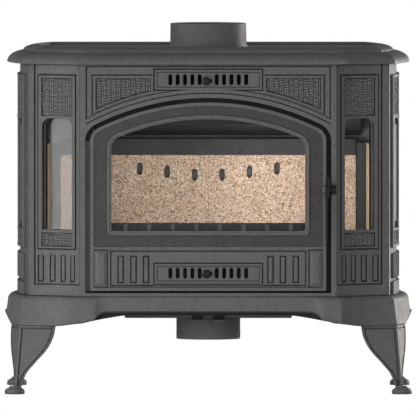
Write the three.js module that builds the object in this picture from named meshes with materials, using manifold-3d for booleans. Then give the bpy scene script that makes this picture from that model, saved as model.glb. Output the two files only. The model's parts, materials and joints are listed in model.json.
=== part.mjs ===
// A free-standing cast-iron wood burning stove, in millimetres.
// +Z is up, the front faces -Y, and the stove stands on the plane z = 0.
// Depths are measured back from the plane of the front castings, y = 0,
// and the whole group is centred on its own bounding box at the end.
import * as THREE from 'three';
import * as BufferGeometryUtils from 'three/addons/utils/BufferGeometryUtils.js';
import Module from 'manifold-3d';

const wasm = await Module();
wasm.setup();

// ---------------------------------------------------------------- driving dimensions

const GAP = 0.3; // left between pieces that touch
const WALL = 8; // thickness of the body castings

// Heights above the floor.
const LEG_TOP = 133;
const BASE_TOP = 191;
const BODY_TOP = 643;
const LIP_TOP = 664.5;
const RIM_TOP = 676;
const FIELD_TOP = 671;
const COLLAR_TOP = 718;
const HEARTH_BOTTOM = 283;
const HEARTH_TOP = 291;

// Plan of the body: a flat front, two concave canted corners, two bowed sides and a flat back.
const FRONT_HALF = 249.7;
const CORNER_X = 350.5;
const CORNER_Y = 66;
const BACK_Y = 436;
const CANT_RADIUS = 150;
const SIDE_BOW = 18;
const LIP_BULGE = 10; // how much more the sides of the top plate and base bow than the side panels
const SIDE_RELIEF = 5.5; // how far the side panels' frames and plinths stand proud

// Offsets of the castings from the plan of the body, outwards: at the front, the sides and the back.
const LIP = { front: 14, side: 15.5, back: 6, run: 32 };
const RIM = { front: -19, side: -16, run: 27, step: 1 };
const FIELD = { front: -49, side: -46, back: -24 };
const LID_SEAT = 14; // how far in the underside of the top plate is hollowed
const LID_SHEET = 9;
const SKIRT_FOOT = { front: 18, side: 20, back: 8 };
const SKIRT_FACE = { front: 12.6, side: 14, back: 6 };
const SKIRT_HOLLOW = { front: 0, side: 4, back: -3 };
const SHOULDER = 13; // height of the skirt's round-over under the body
const DECK = 8.5;

// The front skirt is set back in its middle, and its lower edge slopes up from the corner blocks.
const SET_BACK = 4;
const BLOCK_INNER = 221.6;
const RECESS_HALF = 198;
const SLOPE = { out: 288.5, in: 163, rise: 18.5 };
const SIDE_ARCH = { front: 120, back: 382, peak: 175 };
const CLEAR = 5; // how far cutting tools run past what they cut

// Arched opening, door and glass all share one arc centre.
const ARC_Z = 84.8;
const OPENING = { half: 239, bottom: 198.4, radius: 493, fillet: 36 };
const DOOR = { half: 229.7, bottom: 202.3, radius: 484.6, fillet: 27.6 };
const FLANGE = { half: 207, bottom: 217, radius: 470, fillet: 20 };
const GLASS_SIGHT = { half: 188.3, bottom: 319.3, radius: 451.8, fillet: 24 };
const DOOR_FRONT = 2; // depth of the door's recessed face
const DOOR_BACK = 10;
const FLANGE_FRONT = 18;
const FLANGE_BACK = 24;
const HINGE = { x: -223.7, y: 6, radius: 3 };

// Air vents: ten slots, five each side of a knob that moves a slotted plate.
const VENT_HALF = 104.3;
const UPPER_VENT = { bottom: 594, top: 633, slots: 613.6, knob: 611 };
const LOWER_VENT = { bottom: 216.7, top: 255.3, slots: 237.1, knob: 236 };
const SLOT_WIDTH = 7.5;
const SLOT_HEIGHT = 21;
const FIRST_SLOT = 16.5;
const SLOT_PITCH = 14.3;
const SLOTS_A_SIDE = 5;
const KNOB_X = -3.5;
const BOSS_RISE = 1; // how far the vents' raised fields stand proud
const REVEAL = 6; // thickness of the wall round the door opening
const STEM_SLOT = { length: 14.6, height: 7 };

// Round openings and the places of the pipes.
const FLUE_Y = 235;
const FLUE_BORE = 69.3;
const COLLAR = { foot: 76.6, top: 74.1, rim: 73.1, edge: 2 };
const INLET_Y = 225;
const INLET_RADIUS = 62.5;

// Legs.
const FOOT_X = 377;
const FRONT_FOOT_Y = 45;
const REAR_FOOT_Y = 435;
const FOOT_RADIUS = 19.5;
const FOOT_HEIGHT = 14;
const LEG_WALL = 7;
const LEG_CURVE = [[70, LEG_TOP - GAP], [67, 110], [56, 86], [34, 59], [19, 38.5], [11, FOOT_HEIGHT - 3]];
const FRONT_LEG = { corner: [367.3, 51.5], wing: [-0.985, -0.175], sideWing: [0.249, 0.969] };
const REAR_LEG = { corner: [368, 442], wing: [-1, 0], sideWing: [0.22, 0.975] };

// ---------------------------------------------------------------- materials

const material = (color, roughness, metalness) => () =>
  new THREE.MeshStandardMaterial({ color, roughness, metalness });
const castIron = material(0x5a5958, 0.6, 0.55);
const doorIron = material(0x474645, 0.6, 0.55);
const blackSteel = material(0x1f1f20, 0.45, 0.6);
const plateSteel = material(0x6b6f72, 0.4, 0.8);
const vermiculite = material(0xc3a283, 0.95, 0);
const rope = material(0xb8b4aa, 0.95, 0);
const ceramicGlass = () =>
  new THREE.MeshStandardMaterial({
    color: 0xd8dde0, roughness: 0.05, metalness: 0, transparent: true, opacity: 0.3,
  });

const stove = new THREE.Group();

function add(name, geometry, makeMaterial) {
  const mesh = new THREE.Mesh(geometry, makeMaterial());
  mesh.name = name;
  stove.add(mesh);
  return mesh;
}

// ---------------------------------------------------------------- solids and booleans

function toSolid(geometry) {
  const bare = geometry.clone();
  bare.deleteAttribute('normal');
  bare.deleteAttribute('uv');
  const merged = BufferGeometryUtils.mergeVertices(bare, 1e-4);
  return new wasm.Manifold(new wasm.Mesh({
    numProp: 3,
    vertProperties: new Float32Array(merged.attributes.position.array),
    triVerts: new Uint32Array(merged.index.array),
  }));
}

function toGeometry(solid) {
  const mesh = solid.getMesh();
  const geometry = new THREE.BufferGeometry();
  geometry.setAttribute('position', new THREE.BufferAttribute(mesh.vertProperties, 3));
  geometry.setIndex(new THREE.BufferAttribute(mesh.triVerts, 1));
  geometry.computeVertexNormals();
  return geometry;
}

const join = (...parts) => toGeometry(parts.map(toSolid).reduce((a, b) => a.add(b)));
const cut = (body, ...tools) =>
  toGeometry(tools.map(toSolid).reduce((a, b) => a.subtract(b), toSolid(body)));
const common = (a, b) => toGeometry(toSolid(a).intersect(toSolid(b)));

function mirrored(geometry) {
  const copy = BufferGeometryUtils.mergeVertices(bareCopy(geometry), 1e-4);
  copy.scale(-1, 1, 1);
  const index = copy.index.array;
  for (let i = 0; i < index.length; i += 3) {
    [index[i], index[i + 1]] = [index[i + 1], index[i]];
  }
  copy.computeVertexNormals();
  return copy;
}

function bareCopy(geometry) {
  const copy = geometry.clone();
  copy.deleteAttribute('normal');
  copy.deleteAttribute('uv');
  return copy;
}

const box = (x0, x1, y0, y1, z0, z1) =>
  new THREE.BoxGeometry(x1 - x0, y1 - y0, z1 - z0)
    .translate((x0 + x1) / 2, (y0 + y1) / 2, (z0 + z1) / 2);

// A plan outline (x, y) raised from one height to another.
const raised = (outline, z0, z1) =>
  new THREE.ExtrudeGeometry(asShape(outline), { depth: z1 - z0, bevelEnabled: false })
    .translate(0, 0, z0);

// A front outline (x, z) pushed back from one depth to another.
const pushed = (outline, y0, y1, curveSegments = 3) =>
  new THREE.ExtrudeGeometry(asShape(outline), { depth: y1 - y0, bevelEnabled: false, curveSegments })
    .rotateX(Math.PI / 2).translate(0, y1, 0);

// A side outline (y, z) drawn across from one x to another.
const across = (outline, x0, x1, curveSegments = 5) =>
  new THREE.ExtrudeGeometry(asShape(outline), { depth: x1 - x0, bevelEnabled: false, curveSegments })
    .applyMatrix4(new THREE.Matrix4().makeBasis(
      new THREE.Vector3(0, 1, 0), new THREE.Vector3(0, 0, 1), new THREE.Vector3(1, 0, 0)))
    .translate(x0, 0, 0);

const asShape = (outline) =>
  (outline instanceof THREE.Shape ? outline : new THREE.Shape(outline));
const points = (...pairs) => pairs.map(([a, b]) => new THREE.Vector2(a, b));

// A turned piece about +Z; the profile is (radius, height) and closes on itself.
const turned = (profile, segments) => {
  const closed = points(...profile, profile[0]);
  return new THREE.LatheGeometry(closed, segments).rotateX(Math.PI / 2);
};

const rod = (radius, length, segments = 16) =>
  new THREE.CylinderGeometry(radius, radius, length, segments).rotateX(Math.PI / 2);

// Stacks plan outlines of equal point count into one closed solid.
function loft(levels) {
  const count = levels[0].outline.length;
  const positions = levels.flatMap(({ outline, z }) => outline.flatMap((p) => [p.x, p.y, z]));
  const index = [];
  for (let level = 0; level + 1 < levels.length; level++) {
    for (let i = 0; i < count; i++) {
      const a = level * count + i;
      const b = level * count + ((i + 1) % count);
      index.push(a, b, b + count, a, b + count, a + count);
    }
  }
  const top = (levels.length - 1) * count;
  for (const [a, b, c] of THREE.ShapeUtils.triangulateShape(levels[0].outline, [])) {
    index.push(a, c, b);
  }
  for (const [a, b, c] of THREE.ShapeUtils.triangulateShape(levels.at(-1).outline, [])) {
    index.push(top + a, top + b, top + c);
  }
  const geometry = new THREE.BufferGeometry();
  geometry.setAttribute('position', new THREE.Float32BufferAttribute(positions, 3));
  geometry.setIndex(index);
  geometry.computeVertexNormals();
  return geometry;
}

// ---------------------------------------------------------------- plan geometry

const cantChord = new THREE.Vector2(CORNER_X - FRONT_HALF, CORNER_Y);
const cantAngle = cantChord.angle();
const cantCentre = (() => {
  const reach = Math.sqrt(CANT_RADIUS ** 2 - (cantChord.length() / 2) ** 2);
  return new THREE.Vector2(
    FRONT_HALF + cantChord.x / 2 + reach * Math.sin(cantAngle),
    cantChord.y / 2 - reach * Math.cos(cantAngle));
})();
const sideMiddle = (CORNER_Y + BACK_Y) / 2;
const sideRadius = (((BACK_Y - CORNER_Y) / 2) ** 2 + SIDE_BOW ** 2) / (2 * SIDE_BOW);
const sideCentre = new THREE.Vector2(CORNER_X + SIDE_BOW - sideRadius, sideMiddle);
const cantSagitta = CANT_RADIUS - Math.sqrt(CANT_RADIUS ** 2 - (cantChord.length() / 2) ** 2);
const CANT_STEPS = 6;
const SIDE_STEPS = 6;
const ROUND_STEPS = 36;

// Beyond the whole stove, for cuts that go right through it.
const PAST_FRONT = 40;
const PAST_BACK = BACK_Y + 44;
const PAST_SIDE = CORNER_X + 70;

// x of the canted arc and of the side arc at a depth y, moved out by an offset.
const cantYAt = (x, out = 0) =>
  cantCentre.y + Math.sqrt((CANT_RADIUS - out) ** 2 - (x - cantCentre.x) ** 2);
const sideXAt = (y, out = 0) =>
  sideCentre.x + Math.sqrt((sideRadius + out) ** 2 - (y - sideCentre.y) ** 2);

// The outer corner of the plan, where the two offset arcs cross.
function planCorner(cantOut, sideOut) {
  const r1 = CANT_RADIUS - cantOut;
  const r2 = sideRadius + sideOut;
  const between = cantCentre.clone().sub(sideCentre);
  const distance = between.length();
  const along = (distance ** 2 + r2 ** 2 - r1 ** 2) / (2 * distance);
  const off = Math.sqrt(r2 ** 2 - along ** 2);
  const unit = between.divideScalar(distance);
  return sideCentre.clone().addScaledVector(unit, along)
    .add(new THREE.Vector2(-unit.y * off, unit.x * off));
}

function arcBetween(centre, from, to, steps) {
  const start = from.clone().sub(centre);
  const sweep = to.clone().sub(centre).angle() - start.angle();
  const turn = Math.atan2(Math.sin(sweep), Math.cos(sweep));
  return Array.from({ length: steps + 1 }, (_, i) =>
    start.clone().rotateAround(new THREE.Vector2(), (turn * i) / steps).add(centre));
}

// The centre of a bowed arc through two points, its middle standing out by the sagitta.
function bowCentre(from, to, sagitta) {
  const half = to.clone().sub(from).multiplyScalar(0.5);
  const radius = (half.lengthSq() + sagitta ** 2) / (2 * sagitta);
  const inward = new THREE.Vector2(-half.y, half.x).normalize();
  return from.clone().add(half).addScaledVector(inward, radius - sagitta);
}

// Half of the plan, from the front vertex round to the back.
function planHalf(front, side, back, bulge) {
  const corner = planCorner(front, side);
  const vertexX = cantCentre.x
    - Math.sqrt((CANT_RADIUS - front) ** 2 - (-front - cantCentre.y) ** 2);
  const vertex = new THREE.Vector2(vertexX, -front);
  const rear = new THREE.Vector2(sideXAt(BACK_Y + back, side), BACK_Y + back);
  const sagitta = sideRadius + side
    - Math.sqrt((sideRadius + side) ** 2 - (rear.distanceTo(corner) / 2) ** 2);
  const bowed = bowCentre(corner, rear, sagitta + bulge);
  return [
    ...arcBetween(cantCentre, vertex, corner, CANT_STEPS),
    ...arcBetween(bowed, corner, rear, SIDE_STEPS).slice(1),
  ];
}

function plan(front, side = front, back = front, bulge = 0) {
  const half = planHalf(front, side, back, bulge);
  return [...half, ...half.map((p) => new THREE.Vector2(-p.x, p.y)).reverse()];
}

// ---------------------------------------------------------------- front outlines

// An arched outline with upright sides and a shared arc centre.
function arched({ half, bottom, radius, fillet }) {
  const filletZ = ARC_Z + Math.sqrt((radius - fillet) ** 2 - (half - fillet) ** 2);
  const spring = Math.atan2(filletZ - ARC_Z, half - fillet);
  const shape = new THREE.Shape();
  shape.moveTo(-half, bottom);
  shape.lineTo(half, bottom);
  shape.absarc(half - fillet, filletZ, fillet, 0, spring, false);
  shape.absarc(0, ARC_Z, radius, spring, Math.PI - spring, false);
  shape.absarc(fillet - half, filletZ, fillet, Math.PI - spring, Math.PI, false);
  return shape;
}

// The same outline moved in by a margin on every side.
const inset = (a, margin, bottomMargin = margin) => ({
  half: a.half - margin,
  bottom: a.bottom + bottomMargin,
  radius: a.radius - margin,
  fillet: Math.max(a.fillet - margin, 4),
});

function rectangle(x0, x1, z0, z1) {
  return new THREE.Shape(points([x0, z0], [x1, z0], [x1, z1], [x0, z1]));
}

function ring(outer, ...holes) {
  outer.holes.push(...holes);
  return outer;
}

function roundSlot(x, z, width, height) {
  const r = width / 2;
  const straight = (height - width) / 2;
  const shape = new THREE.Shape();
  shape.absarc(x, z + straight, r, 0, Math.PI, false);
  shape.absarc(x, z - straight, r, Math.PI, 2 * Math.PI, false);
  return shape;
}

const slotCentres = Array.from({ length: SLOTS_A_SIDE }, (_, i) => FIRST_SLOT + i * SLOT_PITCH)
  .flatMap((x) => [-x, x]);

const ventSlots = (vent, y0, y1) =>
  slotCentres.map((x) =>
    pushed(roundSlot(x, vent.slots, SLOT_WIDTH, SLOT_HEIGHT), y0, y1, 2));

function lyingSlot(x, z, length, height) {
  const r = height / 2;
  const straight = (length - height) / 2;
  const shape = new THREE.Shape();
  shape.absarc(x + straight, z, r, -Math.PI / 2, Math.PI / 2, false);
  shape.absarc(x - straight, z, r, Math.PI / 2, 1.5 * Math.PI, false);
  return shape;
}

const stemSlot = (vent, y0, y1) =>
  pushed(lyingSlot(0, vent.knob, STEM_SLOT.length, STEM_SLOT.height), y0, y1, 2);

// ---------------------------------------------------------------- top plate and collar

// A quarter-ellipse edge as levels: from an outer offset at z0 in by run and up by rise.
function ovolo(front, side, run, z0, rise, steps) {
  return Array.from({ length: steps + 1 }, (_, i) => {
    const t = (Math.PI / 2) * (i / steps);
    const back = run * (1 - Math.cos(t));
    return { outline: plan(front - back, side - back, LIP.back, LIP_BULGE), z: z0 + rise * Math.sin(t) };
  });
}

function topPlate() {
  const body = loft([
    ...ovolo(LIP.front, LIP.side, LIP.run, BODY_TOP, LIP_TOP - BODY_TOP, 4),
    ...ovolo(RIM.front, RIM.side, RIM.run, LIP_TOP + RIM.step, RIM_TOP - LIP_TOP - RIM.step, 3),
  ]);
  const field = raised(plan(FIELD.front, FIELD.side, FIELD.back, LIP_BULGE), FIELD_TOP, RIM_TOP + CLEAR);
  const underside = raised(plan(-LID_SEAT), BODY_TOP - CLEAR, FIELD_TOP - LID_SHEET);
  const flueHole = rod(FLUE_BORE, PAST_FRONT, ROUND_STEPS).translate(0, FLUE_Y, FIELD_TOP);
  return cut(body, field, underside, flueHole);
}

function flueCollar() {
  const foot = FIELD_TOP + GAP;
  return turned([
    [FLUE_BORE, foot], [COLLAR.foot, foot], [COLLAR.top, COLLAR_TOP - COLLAR.edge],
    [COLLAR.rim, COLLAR_TOP], [FLUE_BORE, COLLAR_TOP],
  ], ROUND_STEPS).translate(0, FLUE_Y, 0);
}

add('top_plate', topPlate(), castIron);
add('flue_collar', flueCollar(), castIron);

// ---------------------------------------------------------------- base frame and legs

const AIR_BOX = { half: 163, front: 130, back: 320, bottom: 147, top: 190.7, sheet: 2.5 };
const HATCH_MARGIN = 3; // round the air box
const COVE_STEPS = 3;

const skirtPlan = ({ front, side, back }, share = 1) =>
  plan(front * share, side * share, back * share, LIP_BULGE);

function baseFrame() {
  const shoulder = BASE_TOP - SHOULDER;
  const skirt = [
    { outline: skirtPlan(SKIRT_FOOT), z: LEG_TOP },
    { outline: skirtPlan(SKIRT_FACE), z: shoulder },
  ];
  const edge = [30, 60, 90].map((degrees) => {
    const t = THREE.MathUtils.degToRad(degrees);
    return { outline: skirtPlan(SKIRT_FACE, Math.cos(t)), z: shoulder + SHOULDER * Math.sin(t) };
  });
  const body = loft([...skirt, ...edge]);
  const below = LEG_TOP - CLEAR;
  const hollow = raised(skirtPlan(SKIRT_HOLLOW), below, BASE_TOP - DECK);
  const hatch = box(-AIR_BOX.half - HATCH_MARGIN, AIR_BOX.half + HATCH_MARGIN,
    AIR_BOX.front - HATCH_MARGIN, AIR_BOX.back + HATCH_MARGIN, shoulder, BASE_TOP + CLEAR);
  const frontArch = new THREE.Shape(points(
    [-SLOPE.out, below], [-SLOPE.out, LEG_TOP], [-SLOPE.in, LEG_TOP + SLOPE.rise],
    [SLOPE.in, LEG_TOP + SLOPE.rise], [SLOPE.out, LEG_TOP], [SLOPE.out, below]));
  const sideArch = new THREE.Shape();
  sideArch.moveTo(SIDE_ARCH.front, below);
  sideArch.lineTo(SIDE_ARCH.front, LEG_TOP);
  sideArch.quadraticCurveTo(sideMiddle, SIDE_ARCH.peak, SIDE_ARCH.back, LEG_TOP);
  sideArch.lineTo(SIDE_ARCH.back, below);
  return cut(body, hollow, hatch, pushed(frontArch, -PAST_FRONT, PAST_BACK),
    across(sideArch, -PAST_SIDE, PAST_SIDE, 5), frontRecess(below));
}

// The space in front of the set-back middle of the skirt, with a cove at each end.
function frontRecess(below) {
  const deep = SKIRT_FOOT.front - SET_BACK;
  const half = Array.from({ length: COVE_STEPS + 1 }, (_, i) => {
    const t = i / COVE_STEPS;
    const x = BLOCK_INNER - (BLOCK_INNER - RECESS_HALF) * t;
    return new THREE.Vector2(x, deep * Math.sin((Math.PI / 2) * t) - SKIRT_FOOT.front);
  });
  const outline = [
    new THREE.Vector2(BLOCK_INNER, -PAST_FRONT), ...half,
    ...half.map((p) => new THREE.Vector2(-p.x, p.y)).reverse(),
    new THREE.Vector2(-BLOCK_INNER, -PAST_FRONT),
  ];
  return raised(outline, below, BASE_TOP + CLEAR);
}

// A cabriole leg: an L-section whose two wings narrow in an S-curve down to a round foot pad.
function leg({ corner, wing, sideWing }, footY) {
  const ridgeTop = new THREE.Vector2(...corner);
  const foot = new THREE.Vector2(FOOT_X, footY);
  const wingA = new THREE.Vector2(...wing).normalize();
  const wingB = new THREE.Vector2(...sideWing).normalize();
  const inward = wingA.clone().add(wingB).normalize();
  const normalA = inward.clone().addScaledVector(wingA, -inward.dot(wingA)).normalize();
  const normalB = inward.clone().addScaledVector(wingB, -inward.dot(wingB)).normalize();
  const reach = LEG_WALL / Math.sin(wingA.angleTo(wingB) / 2);
  const bottom = LEG_CURVE.at(-1)[1];
  const edge = new THREE.SplineCurve(points(...LEG_CURVE));
  const levels = edge.getPoints(8).map(({ x: width, y: z }) => {
    const ridge = ridgeTop.clone().lerp(foot, (LEG_TOP - z) / (LEG_TOP - bottom));
    const tipA = ridge.clone().addScaledVector(wingA, width);
    const tipB = ridge.clone().addScaledVector(wingB, width);
    const outline = [
      ridge, tipB, tipB.clone().addScaledVector(normalB, LEG_WALL),
      ridge.clone().addScaledVector(inward, reach),
      tipA.clone().addScaledVector(normalA, LEG_WALL), tipA,
    ];
    return { outline, z };
  });
  levels.reverse();
  const pad = turned([
    [0, 0], [FOOT_RADIUS - 1.5, 0], [FOOT_RADIUS, 1.5], [FOOT_RADIUS, 7],
    [FOOT_RADIUS - 3, 10], [FOOT_RADIUS - 8, 12],
    [FOOT_RADIUS - 9, FOOT_HEIGHT + 2], [0, FOOT_HEIGHT + 2],
  ], 16).translate(foot.x, foot.y, 0);
  return join(loft(levels), pad);
}

add('base_frame', baseFrame(), castIron);

// The rear leg is shaped with the depth turned round, and then mirrored back.
const { corner: [rearX, rearY], ...rearWings } = REAR_LEG;
const frontLeg = leg(FRONT_LEG, FRONT_FOOT_Y);
const rearLeg = mirrorDepth(leg({ corner: [rearX, -rearY], ...rearWings }, -REAR_FOOT_Y));

function mirrorDepth(geometry) {
  return mirrored(geometry).rotateZ(Math.PI);
}

add('leg_front_right', frontLeg, castIron);
add('leg_front_left', mirrored(frontLeg), castIron);
add('leg_rear_right', rearLeg, castIron);
add('leg_rear_left', mirrored(rearLeg), castIron);

// ---------------------------------------------------------------- front frame

const FASCIA_DEPTH = 2;
const LAP = 0.5; // how far joined layers run into each other
const POST_LINE = 238.2;
const FASCIA_TOP = BODY_TOP - 3;
const ARCH_BAND = OPENING.radius + 8.8;
const BORDER_OUTER = { x0: 104, x1: 224.5, top: 621.3, radius: OPENING.radius + 18.8 };
const BORDER_INNER = { x0: 109.3, x1: 217.7, top: 614.8, radius: OPENING.radius + 24 };

// The raised border round each woven spandrel above the arch.
function spandrel({ x0, x1, top, radius }) {
  const shape = new THREE.Shape();
  const angleAt = (x) => Math.acos(x / radius);
  shape.moveTo(x0, top);
  shape.lineTo(x0, ARC_Z + radius * Math.sin(angleAt(x0)));
  shape.absarc(0, ARC_Z, radius, angleAt(x0), angleAt(x1), true);
  shape.lineTo(x1, top);
  return shape;
}

function frontFrame() {
  const half = FRONT_HALF - GAP;
  const base = BASE_TOP + GAP;
  const top = BODY_TOP - GAP;
  const plate = pushed(ring(rectangle(-half, half, base, top), arched(OPENING)), FASCIA_DEPTH, WALL);
  const fascia = new THREE.Shape();
  const spring = Math.acos(POST_LINE / ARCH_BAND);
  fascia.moveTo(POST_LINE, FASCIA_TOP);
  fascia.lineTo(-POST_LINE, FASCIA_TOP);
  fascia.absarc(0, ARC_Z, ARCH_BAND, Math.PI - spring, spring, true);
  const posts = pushed(ring(rectangle(-half, half, base, top), arched(OPENING), fascia),
    0, FASCIA_DEPTH + LAP);
  const boss = pushed(rectangle(-VENT_HALF, VENT_HALF, UPPER_VENT.bottom, UPPER_VENT.top),
    -BOSS_RISE, FASCIA_DEPTH + LAP);
  const border = pushed(ring(spandrel(BORDER_OUTER), spandrel(BORDER_INNER)), 0, FASCIA_DEPTH + LAP);
  const reveal = inset(OPENING, -REVEAL);
  const wall = pushed(ring(arched(reveal), arched(OPENING)), WALL - LAP, FLANGE_FRONT + LAP);
  const flange = pushed(ring(arched(reveal), arched(FLANGE)), FLANGE_FRONT, FLANGE_BACK);
  const frame = join(plate, posts, boss, border, mirrored(border), wall, flange);
  const floorTrim = box(-half, half, -CLEAR, FLANGE_BACK + CLEAR, LEG_TOP, base);
  return cut(frame, floorTrim, ...ventSlots(UPPER_VENT, -CLEAR, WALL + CLEAR),
    stemSlot(UPPER_VENT, -CLEAR, WALL + CLEAR));
}

add('front_frame', frontFrame(), castIron);

// ---------------------------------------------------------------- canted corner panels

// Local axes of a canted panel: u along its chord from the front vertex, v up, w outwards.
const cantFrame = new THREE.Matrix4().makeBasis(
  new THREE.Vector3(Math.cos(cantAngle), Math.sin(cantAngle), 0),
  new THREE.Vector3(0, 0, 1),
  new THREE.Vector3(Math.sin(cantAngle), -Math.cos(cantAngle), 0),
).setPosition(FRONT_HALF, 0, 0);

const onCant = (shape, w0, w1, curveSegments = 3) =>
  new THREE.ExtrudeGeometry(shape, { depth: w1 - w0, bevelEnabled: false, curveSegments })
    .translate(0, 0, w0).applyMatrix4(cantFrame);

const SIDE_WINDOW = { u0: 24.3, u1: 94.5, bottom: 320.2, top: 536.8, fillet: 17 };
const SEAT_DEPTH = -21; // where the flat glass seat behind the curved wall ends
const SIDE_REBATE = 10; // how far the seat of a side window reaches round it
const FLUTE = { width: 12.5, bottom: 218, top: 270.6, pitch: 24.6, depth: 3 };
const CANT_BORDER = { left: 14, right: 103, bottom: 283.5, top: 620.6 };
const CANT_BORDER_HOLE = { left: 21, right: 97.5, bottom: 290, top: 615.4 };
const CANT_BORDER_RISE = 2;
const cantRectangle = ({ left, right, bottom, top }) => rectangle(left, right, bottom, top);

function windowOutline(margin) {
  const { u0, u1, bottom, top, fillet } = SIDE_WINDOW;
  const r = fillet + margin;
  const shape = new THREE.Shape();
  shape.moveTo(u0 - margin, bottom - margin);
  shape.lineTo(u1 + margin, bottom - margin);
  shape.absarc(u1 + margin - r, top + margin - r, r, 0, Math.PI / 2, false);
  shape.absarc(u0 - margin + r, top + margin - r, r, Math.PI / 2, Math.PI, false);
  return shape;
}

// The wall between two concentric canted arcs, raised over a height range.
function cantWall(outerOut, innerOut, z0, z1, xEnd = CORNER_X - GAP) {
  const start = new THREE.Vector2(FRONT_HALF, cantYAt(FRONT_HALF, outerOut));
  const end = new THREE.Vector2(xEnd, cantYAt(xEnd, outerOut));
  const innerEndX = Math.min(xEnd, CORNER_X - WALL - GAP);
  const innerStart = new THREE.Vector2(FRONT_HALF, cantYAt(FRONT_HALF, innerOut));
  const innerEnd = new THREE.Vector2(innerEndX, cantYAt(innerEndX, innerOut));
  const lap = xEnd > innerEndX ? [new THREE.Vector2(innerEndX, end.y)] : [];
  return raised([
    ...arcBetween(cantCentre, start, end, 8), ...lap,
    ...arcBetween(cantCentre, innerEnd, innerStart, 8),
  ], z0, z1);
}

function cornerPanel() {
  const wall = cantWall(0, -WALL, BASE_TOP + GAP, BODY_TOP - GAP);
  const skin = cantWall(CANT_BORDER_RISE, -CANT_BORDER_RISE, BASE_TOP + CLEAR, BODY_TOP - CLEAR,
    CORNER_X - CLEAR);
  const border = common(skin, onCant(
    ring(cantRectangle(CANT_BORDER), cantRectangle(CANT_BORDER_HOLE)), -PAST_FRONT, PAST_FRONT));
  const seat = onCant(windowOutline(SIDE_REBATE), SEAT_DEPTH, SEAT_DEPTH + CLEAR);
  const flutes = [-1.5, -0.5, 0.5, 1.5].map((step) => {
    const halfChord = cantChord.length() / 2;
    const offMiddle = step * FLUTE.pitch;
    const surface = -cantSagitta * (1 - (offMiddle / halfChord) ** 2);
    const u = halfChord + offMiddle;
    return onCant(rectangle(u - FLUTE.width / 2, u + FLUTE.width / 2, FLUTE.bottom, FLUTE.top),
      surface - FLUTE.depth, CLEAR);
  });
  const body = join(wall, border, seat);
  return cut(body, onCant(windowOutline(0), -PAST_FRONT, PAST_FRONT), ...flutes);
}

function addPair(name, geometry, makeMaterial) {
  add(`${name}_right`, geometry, makeMaterial);
  add(`${name}_left`, mirrored(geometry), makeMaterial);
}

addPair('corner_panel', cornerPanel(), castIron);

// Flat ceramic glass behind each canted window: gasket, pane and retainer, front to back.
const PANE = 4;
const SIDE_TAPE = 2;
const gasketFront = SEAT_DEPTH - GAP;
const paneFront = gasketFront - SIDE_TAPE - GAP;
const retainerFront = paneFront - PANE - GAP;
const sideRing = (front) =>
  onCant(ring(windowOutline(SIDE_REBATE - 1), windowOutline(1)), front - SIDE_TAPE, front);
addPair('side_glass_gasket', sideRing(gasketFront), rope);
addPair('side_glass', onCant(windowOutline(SIDE_REBATE - 1), paneFront - PANE, paneFront), ceramicGlass);
addPair('side_glass_retainer', sideRing(retainerFront), plateSteel);

// ---------------------------------------------------------------- side and back panels

function sideWall(outerOut, innerOut, y0, y1, z0, z1) {
  const start = new THREE.Vector2(sideXAt(y0, outerOut), y0);
  const end = new THREE.Vector2(sideXAt(y1, outerOut), y1);
  const innerEnd = new THREE.Vector2(sideXAt(y1, innerOut), y1);
  const innerStart = new THREE.Vector2(sideXAt(y0, innerOut), y0);
  return raised([
    ...arcBetween(sideCentre, start, end, 8),
    ...arcBetween(sideCentre, innerEnd, innerStart, 8),
  ], z0, z1);
}

const SIDE_BAYS = 3;
const BAY_PITCH = 113;
const BAY_WIDTH = 92;
const SIDE_PLINTH = { inset: 30, top: 217 };
const BAY = { bottom: 283.5, top: 620.6, rim: 7 };
const bayMiddles = Array.from({ length: SIDE_BAYS }, (_, i) =>
  sideMiddle + (i - (SIDE_BAYS - 1) / 2) * BAY_PITCH);

function sidePanel() {
  const wall = sideWall(0, -WALL, CORNER_Y + GAP, BACK_Y, BASE_TOP + GAP, BODY_TOP - GAP);
  const skin = sideWall(SIDE_RELIEF, -LAP, CORNER_Y + WALL, BACK_Y - WALL,
    BASE_TOP + CLEAR, BODY_TOP - CLEAR);
  const plinth = sideWall(SIDE_RELIEF, -LAP, CORNER_Y + SIDE_PLINTH.inset, BACK_Y - SIDE_PLINTH.inset,
    BASE_TOP + GAP, SIDE_PLINTH.top);
  const bay = (middle, rim) => rectangle(middle - BAY_WIDTH / 2 + rim, middle + BAY_WIDTH / 2 - rim,
    BAY.bottom + rim, BAY.top - rim);
  const borders = bayMiddles.map((middle) =>
    common(skin, across(ring(bay(middle, 0), bay(middle, BAY.rim)), FRONT_HALF, PAST_SIDE)));
  return join(wall, plinth, ...borders);
}

addPair('side_panel', sidePanel(), castIron);

const backHalf = sideXAt(BACK_Y, -WALL) - GAP;
const backPanel = box(-backHalf, backHalf, BACK_Y - WALL, BACK_Y, BASE_TOP + GAP, BODY_TOP - GAP);
add('back_panel', backPanel, castIron);

// ---------------------------------------------------------------- door

const VISION_BEAD = { half: 197, bottom: 310.3, radius: 459.9, fillet: 32, rise: 1.5 };
const DOOR_RIM = { width: 7.2, crossBottom: 283, crossTop: 288.5, sillTop: 208, half: 222.5 };
const DOOR_BLOCK = { x: 210, half: 10, bottom: 213, top: 279.5, rise: 0.5 };
const DOOR_BORDER = { half: 195, bottom: 205, top: 284, width: 5 };
const DOOR_BAR = { xs: [121, 145.3, 170.3], half: 4.1, bottom: 219.5, top: 269 };
const LOWER_PIN = { bottom: OPENING.bottom + GAP, top: 212 };
const UPPER_PIN = { bottom: 500, top: 520 };
const PIN_STEPS = 12;

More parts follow.
